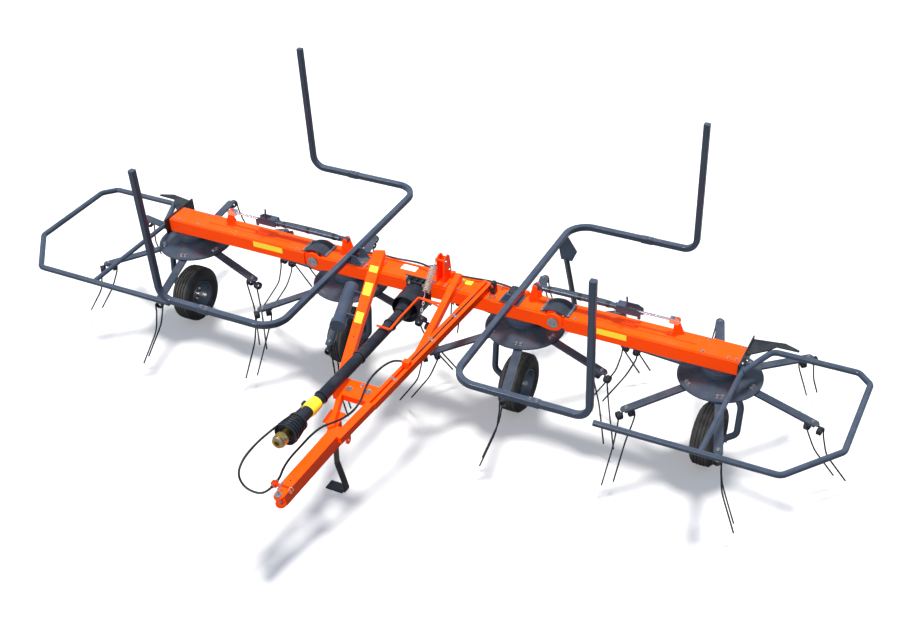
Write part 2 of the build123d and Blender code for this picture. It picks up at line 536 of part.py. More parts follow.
def hitch_pin():
    """The drawbar pin with its collar and its bent handle."""
    collar = UPPER_JAW + JAW_T
    pin = Pos(0, 0, (collar + TONGUE_LOW - 24) / 2) * Cylinder(HITCH_R - RUN, collar - TONGUE_LOW + 24)
    pin += Pos(0, 0, collar + 6) * Cylinder(22, 12)
    handle = swept([(0, 0, collar + 8), (0, 0, collar + 44), (0, 66, collar + 44)], [14], Circle(6))
    return draw_plane() * Pos(HITCH_X, along(HITCH_Y), 0) * (pin + handle)


def rest_hook():
    """The bent rod that reaches from the middle leg over the power shaft's guard."""
    route = [(205, -300, 788), (140, -300, 812), (43, -300, 826), (-14, -467, 754), (-16, -585, 745), (-98, -608, 772)]
    hook = swept(route, [16, 40, 60, 18], Circle(5))
    return hook - in_draw_plane(strip(MIDDLE_TOP, MIDDLE_FOOT, MIDDLE_W), -DRAW_H / 2, DRAW_H / 2)


# ---------------------------------------------------------------- drive
def drive_gearbox():
    """Input gearbox on the beam's front face: flange, ribbed housing, round cover and the stub for the shaft."""
    x, z = SHAFT_REAR.X, SHAFT_REAR.Z
    back = -CENTRE_W / 2
    body = box(x - 88, x + 88, back - 12, back, BEAM_LOW - 60, BEAM_TOP + 46)
    body += box(x - 68, x + 68, BOX_FRONT, back, BEAM_LOW - 48, BEAM_TOP + 20)
    for rib in (-44, 0, 44):
        body += box(x + rib - 4, x + rib + 4, BOX_FRONT + 6, back, BEAM_TOP + 18, BEAM_TOP + 38)
    body += rod((x, BOX_FRONT + 2, z), (x, BOX_FRONT - 36, z), 58)
    return body + rod((x, BOX_FRONT, z), (x, SHAFT_REAR.Y, z), 30)


def drive_shield():
    """The fixed shield round the joint behind the shaft's own bell, open to the front."""
    outline = [(59, 0), (SHIELD_R - 4, 0), (SHIELD_R, 6), (SHIELD_R, SHIELD_LEN), (SHIELD_R - 5, SHIELD_LEN),
               (SHIELD_R - 5, 5), (59, 5)]
    return Plane(origin=(SHAFT_REAR.X, BOX_FRONT, SHAFT_REAR.Z), z_dir=(0, -1, 0)) * spun(outline)


def shaft_at(share):
    """A point on the power shaft's axis."""
    return SHAFT_REAR + (SHAFT_FRONT - SHAFT_REAR) * share


def bell(start, end, r0, r1, wall=4):
    """An open cone round the shaft."""
    length = (end - start).length
    outline = [(r0, 0), (r1, length), (r1 - wall, length), (r0 - wall, wall), (0, wall), (0, 0)]
    return Plane(origin=start, z_dir=end - start) * spun(outline)


def power_shaft():
    """The power shaft's guard: tube, bells, collar and the block that holds the hose."""
    body = rod(shaft_at(-0.01), shaft_at(0.95), GUARD_R)
    body += bell(shaft_at(0.115), shaft_at(0.02), GUARD_R + 8, 76)
    body += bell(shaft_at(0.90), shaft_at(0.985), GUARD_R + 16, 72)
    body += rod(shaft_at(0.895), shaft_at(0.905), 62)
    for share in (0.915, 0.94, 0.965):
        body += rod(shaft_at(share - 0.002), shaft_at(share + 0.002), 62 + (share - 0.915) * 200) - rod(
            shaft_at(share - 0.01), shaft_at(share + 0.01), GUARD_R)
    body += rod(shaft_at(0.78), shaft_at(0.80), GUARD_R + 5)
    x, y, z = HOSES["hose_nose_loop"][-1]
    body += box(x - 15, x + 15, y, y + 32, z - 15, z + 15)
    return body - box(-200, 100, SHAFT_REAR.Y, 0, 500, 900)


def shaft_yoke():
    """The yoke at the shaft's free end, with its collar and its splined bore."""
    body = rod(shaft_at(0.955), shaft_at(1.0), 30)
    body += rod(shaft_at(0.985), shaft_at(1.04), 27)
    body += rod(shaft_at(1.002), shaft_at(1.028), 42)
    return body - rod(shaft_at(0.99), shaft_at(1.05), 17.5)


def spring_pin():
    """The pin through the tower's cheeks."""
    return rod((24, -22, 948), (106, -22, 948), 8)


def spring_bar():
    """The bar on the middle leg that holds the spring's lower end."""
    return rod((30, -236, 770), (200, -236, 770), 8)


def spring_tower():
    """Foot, two cheeks and back above the beam that hold the spring, and the hoses' two blocks."""
    cheek = make_face(Polyline((-60, BEAM_TOP), (60, BEAM_TOP), (38, 960), (20, 978), (-16, 978), (-34, 960), close=True))
    body = extrude(Plane.YZ * cheek, 8)
    tower = Pos(40, 0, 0) * body + Pos(92, 0, 0) * body + box(40, 100, 28, 36, BEAM_TOP, 950)
    tower += box(16, 124, -86, 70, BEAM_TOP, BEAM_TOP + 8)
    tower += box(16, 40, 34, 66, BEAM_TOP, 826) + box(100, 124, 34, 66, BEAM_TOP, 826)
    for side in (-1, 1):
        tower += box(side * 642 - 12, side * 642 + 12, 46, 74, BEAM_TOP, 808)
    return tower + spring_pin()


def float_spring():
    """Tension spring from the tower's pin towards the drawbar, its coils as close rings, hooked at each end."""
    start, end = Vector(32, -22, 956), Vector(42, -236, 766)
    axis, length = (end - start).normalized(), (end - start).length
    coils, radius, wire, hook = 12, 28, 6.5, 56
    pitch = (length - 2 * hook) / coils
    outline = [(radius - wire, hook)]
    for i in range(coils):
        low = hook + i * pitch
        outline += [(radius - 3, low + 1), (radius, low + pitch / 3), (radius, low + pitch * 2 / 3),
                    (radius - 3, low + pitch - 1)]
    outline += [(radius - wire, length - hook), (0, length - hook), (0, hook)]
    body = Plane(origin=start, z_dir=axis) * spun(outline)
    body += rod(start, start + axis * (hook + 2), 4) + rod(end - axis * (hook + 2), end, 4)
    body -= spring_pin() + spring_bar()
    return max(body.solids(), key=lambda solid: solid.volume)


def canister():
    """The tube for papers beside the left leg, its cap and the two brackets that carry it."""
    start, end = Vector(-478, -270, 756), Vector(-388, -600, 702)
    ahead = (end - start).normalized()
    tube = rod(start, end, 46) + rod(end - ahead * 6, end + ahead * 34, 53)
    leg = in_draw_plane(strip(LEFT_TOP, LEFT_FOOT, LEFT_TOP_W, LEFT_FOOT_W), -DRAW_H / 2, DRAW_H / 2)
    for y, x0, x1, z in ((-330, -452, -330, 756), (-530, -396, -270, 724)):
        tube += box(x0, x1, y - 5, y + 5, z - 16, z + 14) - leg
    return tube


# ---------------------------------------------------------------- stand
def stand():
    """Parking stand: a flat bar bent sideways, its pivot tube and the foot."""
    half = STAND_T / 2
    line = [(STAND_X + 2, 548), (STAND_X + 2, 500), (-21, 345), (-29, 221), (9, 66), (20, half), (-114, half)]
    with BuildSketch(Plane(origin=(0, STAND_Y + STAND_W / 2, 0), x_dir=(1, 0, 0), z_dir=(0, -1, 0))) as section:
        with BuildLine():
            FilletPolyline(*line, radius=[40, 60, 60, 30, 8])
        trace(line_width=STAND_T)
    bar = extrude(section.sketch, STAND_W)
    hub = rod((STAND_X - 18, STAND_Y, STAND_PIVOT_Z), (STAND_X + 22, STAND_Y, STAND_PIVOT_Z), 22)
    foot = box(-114, 4, STAND_Y - 38, STAND_Y + 34, 0, STAND_T)
    pin_way = rod((STAND_X - 40, STAND_Y, STAND_PIVOT_Z), (STAND_X + 40, STAND_Y, STAND_PIVOT_Z), STAND_PIN_R + RUN)
    return (bar + hub + foot - pin_way) - box(-300, 300, STAND_Y - 100, STAND_Y + 100, -20, 0)


def stand_bracket():
    """Base under the strut, the two cheeks and the stand's pin."""
    low = -DRAW_H / 2
    base = make_face(Polyline((-58, along(-1262)), (44, along(-1262)), (44, along(-1368)), (-58, along(-1368)), close=True))
    body = in_draw_plane(base, low - 8, low)
    for x in (STAND_X - 26, STAND_X + 30):
        cheek = box(x - 4, x + 4, STAND_Y - 32, STAND_Y + 32, STAND_PIVOT_Z, 640)
        body += cheek + rod((x - 4, STAND_Y, STAND_PIVOT_Z), (x + 4, STAND_Y, STAND_PIVOT_Z), 32)
    body -= in_draw_plane(Pos(0, along(STAND_Y)) * Rectangle(600, 600), low, low + 200)
    pin = rod((STAND_X - 44, STAND_Y, STAND_PIVOT_Z), (STAND_X + 44, STAND_Y, STAND_PIVOT_Z), STAND_PIN_R)
    return body + pin + rod((STAND_X - 42, STAND_Y, STAND_PIVOT_Z), (STAND_X - 30, STAND_Y, STAND_PIVOT_Z), 16)


def flap():
    """Right rubber flap over the hinge gap."""
    top = BEAM_TOP + 1
    with BuildSketch() as section:
        with BuildLine():
            Line((790, top), (806, top))
            ThreePointArc((806, top), (885, top + 26), (960, top))
            Polyline((960, top), (990, top), (990, top + 6), (962, top + 6))
            ThreePointArc((962, top + 6), (885, top + 32), (804, top + 6))
            Polyline((804, top + 6), (790, top + 6), (790, top))
        make_face()
    plane = Plane(origin=(0, 72, 0), x_dir=(1, 0, 0), z_dir=(0, -1, 0))
    return extrude(plane * section.sketch, 144)


# ---------------------------------------------------------------- the nodes
save("centre_beam", centre_beam())
save("hinge_pins", hinge_pin(), mirrored(hinge_pin(), -1))
save("drawbar_right_leg", right_leg())
save("drawbar_left_leg", left_leg())
save("drawbar_middle_leg", middle_leg())
save("drawbar_cross_plate", *cross_plate())
save("drawbar_tongue", tongue())
save("hitch_clevis", upper_jaw())
save("hitch_pin", hitch_pin())
save("shaft_rest_hook", rest_hook())
save("drive_gearbox", drive_gearbox())
save("drive_shield", drive_shield())
save("power_shaft_guard", power_shaft())
save("power_shaft_yoke", shaft_yoke())
save("spring_tower", spring_tower())
save("float_spring", float_spring())
save("paper_canister", canister())
save("stand_bracket", stand_bracket())
save("parking_stand", stand())
save("guard_mounts", guard_mount(), mirrored(guard_mount(), -1), side_post())
save("centre_gearboxes", Pos(INNER_X, 0, 0) * gearbox(), Pos(-INNER_X, 0, 0) * gearbox())
save("centre_wheel_legs", wheel_leg(INNER_X, -1), wheel_leg(-INNER_X, 1))
for side_name, side in SIDES:
    save(f"centre_guard_{side_name}", mirrored(centre_guard(), side))
    save(f"wing_beam_{side_name}", mirrored(wing_beam(), side))
    save(f"wing_gearbox_{side_name}", Pos(side * OUTER_X, 0, 0) * gearbox())
    save(f"wing_wheel_leg_{side_name}", wheel_leg(side * OUTER_X, side))
    save(f"wing_guard_{side_name}", mirrored(wing_guard(), side))
    save(f"wing_bracket_{side_name}", mirrored(wing_bracket(), side))
    save(f"cylinder_barrel_{side_name}", mirrored(barrel(), side))
    save(f"cylinder_rod_{side_name}", mirrored(piston_rod(), side))
    save(f"hinge_flap_{side_name}", mirrored(flap(), side))
for name, x, sense, phase in ROTORS:
    save(f"rotor_{name}", rotor(x, sense, phase))
    save(f"tines_{name}", *tines(x, sense, phase))
    save(f"tyre_{name}", tyre(x))
    save(f"rim_{name}", rim(x))
for name, points in HOSES.items():
    tube, radii = hose(points)
    save(name, tube)
    print(name, "radii", [round(r) for r in radii], "length", round(tube.volume / (math.pi * HOSE_R ** 2)))
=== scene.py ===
"""Dresses a trailed four-rotor hay tedder: paints, ribbed tyres, sprung tines, bolts, guards and trim.

Every size is in metres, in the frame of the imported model: +Z up, the drawbar points along -Y and +X is
the right-hand wing. The main beam's centre line stands at BEAM_Y.
"""
import logging
import math
from dataclasses import dataclass
from enum import Enum
from typing import Callable, Iterable, Optional, Sequence

import bmesh
import bpy
from mathutils import Matrix, Vector

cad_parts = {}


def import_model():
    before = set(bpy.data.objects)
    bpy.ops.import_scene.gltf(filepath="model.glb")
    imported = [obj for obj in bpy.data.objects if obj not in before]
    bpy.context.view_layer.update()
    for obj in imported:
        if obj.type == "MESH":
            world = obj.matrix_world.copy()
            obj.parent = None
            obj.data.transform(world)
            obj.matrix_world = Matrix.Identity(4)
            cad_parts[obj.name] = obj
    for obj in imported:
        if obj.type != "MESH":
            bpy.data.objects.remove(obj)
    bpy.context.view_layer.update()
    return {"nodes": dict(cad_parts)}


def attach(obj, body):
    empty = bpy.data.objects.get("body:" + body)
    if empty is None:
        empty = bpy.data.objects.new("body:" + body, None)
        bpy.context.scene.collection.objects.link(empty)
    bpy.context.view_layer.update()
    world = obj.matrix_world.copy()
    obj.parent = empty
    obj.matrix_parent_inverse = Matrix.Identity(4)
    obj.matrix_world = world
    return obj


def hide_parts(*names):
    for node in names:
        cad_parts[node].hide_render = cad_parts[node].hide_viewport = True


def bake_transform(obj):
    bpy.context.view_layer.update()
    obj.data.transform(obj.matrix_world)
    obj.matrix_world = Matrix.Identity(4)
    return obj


LOG = logging.getLogger("tedder")
BEAM_Y = 0.530
DECK = 0.792    # top of the plates that are bolted on the beam
Triple = tuple[float, float, float]


class Side(Enum):
    """A wing, with the sign of its X."""

    LEFT = -1
    RIGHT = 1

    @property
    def tag(self) -> str:
        """The side's word in node and body names."""
        return self.name.lower()


class Corner(Enum):
    """A rotor's place: X, turning sense and phase in degrees."""

    OUTER_LEFT = (-1.965, -1, 43.0)
    INNER_LEFT = (-0.655, 1, 47.0)
    INNER_RIGHT = (0.655, -1, 43.0)
    OUTER_RIGHT = (1.965, 1, 47.0)

    @property
    def tag(self) -> str:
        """The rotor's words in node and body names."""
        return self.name.lower()


def spot(x: float, y: float, z: float) -> Vector:
    """A place whose Y is counted from the main beam's centre line."""
    return Vector((x, BEAM_Y + y, z))


class DrawPlane:
    """The plane that the drawbar's members lie in, which falls towards the hitch."""

    slope = 0.1625
    nose_y = -1.880
    nose_z = 0.520
    tilt = math.atan(slope)
    top = 0.025

    @classmethod
    def place(cls, x: float, y: float, height: float) -> Vector:
        """A place at a height over the plane, its Y counted from the main beam's line."""
        rise = cls.nose_z + cls.slope * (y - cls.nose_y)
        return spot(x, y - height * math.sin(cls.tilt), rise + height * math.cos(cls.tilt))

    @classmethod
    def stand(cls, x: float, y: float, height: float, spin: float = 0.0) -> Matrix:
        """The place of a part modelled on Z that stands on the plane, turned by spin."""
        turn = Matrix.Rotation(cls.tilt, 4, "X") @ Matrix.Rotation(spin, 4, "Z")
        return Matrix.Translation(cls.place(x, y, height)) @ turn


class PowerShaft:
    """The line of the power shaft, from the gearbox to its free end."""

    rear = Vector((-0.070, BEAM_Y - 0.185, 0.696))
    front = Vector((-0.066, BEAM_Y - 1.740, 0.751))

    @classmethod
    def place(cls, share: float) -> Vector:
        """A point on the axis at a share of the way to the free end."""
        return cls.rear.lerp(cls.front, share)

    @classmethod
    def stand(cls, share: float, spin: float = 0.0) -> Matrix:
        """The place of a part modelled on Z that sits on the axis and points to the free end."""
        return aimed(cls.place(share), cls.front - cls.rear, spin)


def aimed(place: Sequence[float], axis: Sequence[float], spin: float = 0.0) -> Matrix:
    """The place of a part modelled on Z that stands on a point and points along an axis."""
    turn = Vector((0, 0, 1)).rotation_difference(Vector(axis)).to_matrix().to_4x4()
    return Matrix.Translation(Vector(place)) @ turn @ Matrix.Rotation(spin, 4, "Z")


# ---------------------------------------------------------------- finishes
class SurfaceEffects:
    """Shader node groups that several finishes share."""

    def __init__(self) -> None:
        """Builds each group once."""
        self.mottle = self._mottle()
        self.dust = self._dust()
        self.grain = self._grain()
        self.scuffs = self._scuffs()

    @staticmethod
    def _group(name: str, inputs: Sequence[tuple[str, str, object]], outputs: Sequence[tuple[str, str]]):
        """Starts a node group with named sockets.

        Args:
            name: the group's name.
            inputs: name, socket type and default of each input.
            outputs: name and socket type of each output.

        Returns:
            The tree, its input node and its output node.
        """
        tree = bpy.data.node_groups.new(name, "ShaderNodeTree")
        for label, kind, default in inputs:
            socket = tree.interface.new_socket(name=label, in_out="INPUT", socket_type=kind)
            socket.default_value = default
        for label, kind in outputs:
            tree.interface.new_socket(name=label, in_out="OUTPUT", socket_type=kind)
        return tree, tree.nodes.new("NodeGroupInput"), tree.nodes.new("NodeGroupOutput")

    @staticmethod
    def _noise(tree, scale_from, detail: float, rough: float, offset: float = 0.0):
        """Adds a noise over Object coordinates.

        Args:
            tree: the node tree.
            scale_from: the socket that gives the noise's scale.
            detail: the noise's detail.
            rough: the noise's roughness.
            offset: shift of the pattern.

        Returns:
            The noise node.
        """
        place = tree.nodes.new("ShaderNodeTexCoord")
        shift = tree.nodes.new("ShaderNodeMapping")
        shift.inputs["Location"].default_value = (offset, offset * 0.7, offset * 0.3)
        noise = tree.nodes.new("ShaderNodeTexNoise")
        noise.inputs["Detail"].default_value = detail
        noise.inputs["Roughness"].default_value = rough
        tree.links.new(place.outputs["Object"], shift.inputs["Vector"])
        tree.links.new(shift.outputs["Vector"], noise.inputs["Vector"])
        tree.links.new(scale_from, noise.inputs["Scale"])
        return noise

    @staticmethod
    def _ramp(tree, source, low: float, high: float):
        """Stretches a value between two limits onto 0 to 1, smoothly."""
        ramp = tree.nodes.new("ShaderNodeMapRange")
        ramp.interpolation_type = "SMOOTHSTEP"
        ramp.inputs["From Min"].default_value = low
        ramp.inputs["From Max"].default_value = high
        tree.links.new(source, ramp.inputs["Value"])
        return ramp.outputs["Result"]

    @staticmethod
    def _times(tree, a, b):
        """Multiplies two values."""
        node = tree.nodes.new("ShaderNodeMath")
        node.operation = "MULTIPLY"
        tree.links.new(a, node.inputs[0])
        tree.links.new(b, node.inputs[1])
        return node.outputs[0]

    @staticmethod
    def _mix(tree, share, a, b):
        """Mixes two colours by a share."""
        node = tree.nodes.new("ShaderNodeMix")
        node.data_type = "RGBA"
        tree.links.new(share, node.inputs["Factor"])
        tree.links.new(a, node.inputs["A"])
        tree.links.new(b, node.inputs["B"])
        return node.outputs["Result"]

    def _mottle(self):
        """Slow changes of tone over a coat of paint or a plating."""
        tree, given, out = self._group(
            "uneven_tone",
            [("Tone", "NodeSocketColor", (1, 1, 1, 1)), ("Shade", "NodeSocketColor", (0.5, 0.5, 0.5, 1)),
             ("Scale", "NodeSocketFloat", 3.0), ("Amount", "NodeSocketFloat", 0.5)],
            [("Color", "NodeSocketColor"), ("Mask", "NodeSocketFloat")])
        noise = self._noise(tree, given.outputs["Scale"], 6.0, 0.6)
        mask = self._times(tree, self._ramp(tree, noise.outputs["Fac"], 0.38, 0.72), given.outputs["Amount"])
        mixed = self._mix(tree, mask, given.outputs["Tone"], given.outputs["Shade"])
        tree.links.new(mixed, out.inputs["Color"])
        tree.links.new(mask, out.inputs["Mask"])
        return tree

    def _dust(self):
        """Dry dust that settles on what faces up, in patches."""
        tree, given, out = self._group(
            "settled_dust",
            [("Color", "NodeSocketColor", (1, 1, 1, 1)), ("Dust", "NodeSocketColor", (0.55, 0.5, 0.42, 1)),
             ("Amount", "NodeSocketFloat", 0.2), ("Scale", "NodeSocketFloat", 9.0)],
            [("Color", "NodeSocketColor"), ("Mask", "NodeSocketFloat")])
        normal = tree.nodes.new("ShaderNodeNewGeometry")
        parts = tree.nodes.new("ShaderNodeSeparateXYZ")
        tree.links.new(normal.outputs["Normal"], parts.inputs["Vector"])
        upward = self._ramp(tree, parts.outputs["Z"], -0.4, 1.0)
        noise = self._noise(tree, given.outputs["Scale"], 8.0, 0.65, 3.1)
        patch = self._ramp(tree, noise.outputs["Fac"], 0.3, 0.75)
        mask = self._times(tree, self._times(tree, upward, patch), given.outputs["Amount"])
        mixed = self._mix(tree, mask, given.outputs["Color"], given.outputs["Dust"])
        tree.links.new(mixed, out.inputs["Color"])
        tree.links.new(mask, out.inputs["Mask"])
        return tree

    def _grain(self):
        """Fine relief, from orange peel in a paint to the bloom of a rubber."""
        tree, given, out = self._group(
            "fine_relief",
            [("Scale", "NodeSocketFloat", 300.0), ("Strength", "NodeSocketFloat", 0.1)],
            [("Height", "NodeSocketFloat")])
        noise = self._noise(tree, given.outputs["Scale"], 3.0, 0.5, 1.7)
        height = self._times(tree, noise.outputs["Fac"], given.outputs["Strength"])
        tree.links.new(height, out.inputs["Height"])
        return tree

    def _scuffs(self):
        """Rubbed and scratched patches where the finish has worn thin."""
        tree, given, out = self._group(
            "rubbed_patches",
            [("Color", "NodeSocketColor", (1, 1, 1, 1)), ("Worn", "NodeSocketColor", (0.4, 0.4, 0.4, 1)),
             ("Amount", "NodeSocketFloat", 0.1), ("Scale", "NodeSocketFloat", 30.0)],
            [("Color", "NodeSocketColor"), ("Mask", "NodeSocketFloat")])
        noise = self._noise(tree, given.outputs["Scale"], 10.0, 0.75, 7.3)
        mask = self._times(tree, self._ramp(tree, noise.outputs["Fac"], 0.58, 0.66), given.outputs["Amount"])
        mixed = self._mix(tree, mask, given.outputs["Color"], given.outputs["Worn"])
        tree.links.new(mixed, out.inputs["Color"])
        tree.links.new(mask, out.inputs["Mask"])
        return tree


@dataclass(frozen=True)
class Finish:
    """One finish of the machine: its colours, gloss, relief, dust and wear."""

    name: str
    tone: Triple
    shade: Triple
    roughness: float
    metallic: float = 0.0
    coat: float = 0.0
    mottle_scale: float = 3.0
    mottle_amount: float = 0.5
    grain_scale: float = 350.0
    grain_height: float = 0.15
    grain_depth: float = 0.0006
    dust: float = 0.12
    dust_scale: float = 9.0
    worn: Triple = (0.35, 0.33, 0.3)
    wear: float = 0.0
    wear_scale: float = 30.0
    roughness_spread: float = 0.15
    specular: float = 0.25

    def build(self, effects: SurfaceEffects) -> bpy.types.Material:
        """Makes the material.

        Args:
            effects: the shared shader groups.

        Returns:
            The finished material.
        """
        made = bpy.data.materials.new(self.name)
        made.use_nodes = True
        tree = made.node_tree
        links = tree.links
        shader = tree.nodes["Principled BSDF"]
        shader.inputs["Metallic"].default_value = self.metallic
        shader.inputs["Specular IOR Level"].default_value = self.specular
        shader.inputs["Coat Weight"].default_value = self.coat
        shader.inputs["Coat Roughness"].default_value = 0.12

        def placed(group, **values):
            """Places a shared group with its own values."""
            node = tree.nodes.new("ShaderNodeGroup")
            node.node_tree = group
            for label, value in values.items():
                node.inputs[label].default_value = value
            return node

        tone = placed(effects.mottle, Tone=(*self.tone, 1), Shade=(*self.shade, 1),
                      Scale=self.mottle_scale, Amount=self.mottle_amount)
        worn = placed(effects.scuffs, Worn=(*self.worn, 1), Amount=self.wear, Scale=self.wear_scale)
        dust = placed(effects.dust, Amount=self.dust, Scale=self.dust_scale)
        links.new(tone.outputs["Color"], worn.inputs["Color"])
        links.new(worn.outputs["Color"], dust.inputs["Color"])
        links.new(dust.outputs["Color"], shader.inputs["Base Color"])

        gloss = tree.nodes.new("ShaderNodeMapRange")
        gloss.inputs["To Min"].default_value = self.roughness
        gloss.inputs["To Max"].default_value = min(1.0, self.roughness + self.roughness_spread)
        rough = tree.nodes.new("ShaderNodeMath")
        rough.operation = "ADD"
        rough.use_clamp = True
        links.new(tone.outputs["Mask"], gloss.inputs["Value"])
        links.new(gloss.outputs["Result"], rough.inputs[0])
        links.new(dust.outputs["Mask"], rough.inputs[1])
        links.new(rough.outputs[0], shader.inputs["Roughness"])

        relief = placed(effects.grain, Scale=self.grain_scale, Strength=self.grain_height)
        bump = tree.nodes.new("ShaderNodeBump")
        bump.inputs["Distance"].default_value = self.grain_depth
        links.new(relief.outputs["Height"], bump.inputs["Height"])
        links.new(bump.outputs["Normal"], shader.inputs["Normal"])
        return made


FINISHES = (
    Finish("orange_enamel", (0.90, 0.060, 0.0015), (0.82, 0.046, 0.001), 0.32, mottle_amount=0.45,
           grain_scale=260, dust=0.012, worn=(0.95, 0.16, 0.03), wear=0.05, specular=0.1),
    Finish("slate_enamel", (0.030, 0.044, 0.070), (0.020, 0.030, 0.050), 0.30, coat=0.25, mottle_amount=0.6,
           dust=0.04, worn=(0.08, 0.09, 0.11), wear=0.12),
    Finish("rotor_enamel", (0.026, 0.036, 0.054), (0.017, 0.024, 0.038), 0.26, coat=0.3, mottle_amount=0.7,
           dust=0.04, worn=(0.08, 0.08, 0.09), wear=0.25),
    Finish("black_enamel", (0.010, 0.012, 0.016), (0.006, 0.007, 0.009), 0.34, coat=0.15, dust=0.04,
           worn=(0.05, 0.05, 0.05), wear=0.2),
    Finish("zinc_plate", (0.42, 0.42, 0.41), (0.26, 0.26, 0.26), 0.34, metallic=0.85, mottle_scale=14,
           grain_scale=700, dust=0.05),
    Finish("chrome_plate", (0.80, 0.81, 0.82), (0.70, 0.71, 0.73), 0.12, metallic=1.0, mottle_scale=8,
           dust=0.02),
    Finish("bronzed_spring", (0.50, 0.40, 0.35), (0.30, 0.20, 0.15), 0.30, metallic=0.35, mottle_scale=20,
           dust=0.06),
    Finish("coated_wire", (0.014, 0.018, 0.026), (0.009, 0.011, 0.016), 0.38, metallic=0.2, mottle_scale=16,
           dust=0.04, worn=(0.20, 0.19, 0.18), wear=0.3),
    Finish("moulded_black", (0.011, 0.012, 0.015), (0.007, 0.008, 0.010), 0.46, grain_scale=900,
           grain_height=0.5, dust=0.04),
    Finish("guard_tube_black", (0.008, 0.011, 0.018), (0.005, 0.007, 0.011), 0.28, dust=0.03),
    Finish("yellow_passivate", (0.62, 0.40, 0.10), (0.45, 0.30, 0.10), 0.30, metallic=0.9, mottle_scale=30,
           dust=0.05),
    Finish("tread_rubber", (0.024, 0.024, 0.025), (0.042, 0.040, 0.038), 0.62, mottle_scale=9,
           grain_scale=500, grain_height=0.6, dust=0.12, dust_scale=14),
    Finish("sheet_rubber", (0.018, 0.024, 0.036), (0.012, 0.016, 0.024), 0.46, grain_scale=600,
           grain_height=0.4, dust=0.04),
    Finish("hose_rubber", (0.012, 0.012, 0.014), (0.008, 0.008, 0.009), 0.42, mottle_scale=12,
           grain_scale=800, grain_height=0.4, dust=0.06),
    Finish("warning_yellow", (0.90, 0.66, 0.03), (0.82, 0.58, 0.03), 0.35, dust=0.04),
    Finish("label_white", (0.80, 0.80, 0.78), (0.72, 0.72, 0.70), 0.40, dust=0.04),
    Finish("red_reflector", (0.60, 0.02, 0.01), (0.45, 0.015, 0.01), 0.15, coat=0.6, dust=0.03),
)


class Palette:
    """The finishes as materials, by name."""

    def __init__(self) -> None:
        """Builds every finish."""
        effects = SurfaceEffects()
        self._made = {finish.name: finish.build(effects) for finish in FINISHES}

    def __getitem__(self, name: str) -> bpy.types.Material:
        """The material of a finish."""
        return self._made[name]


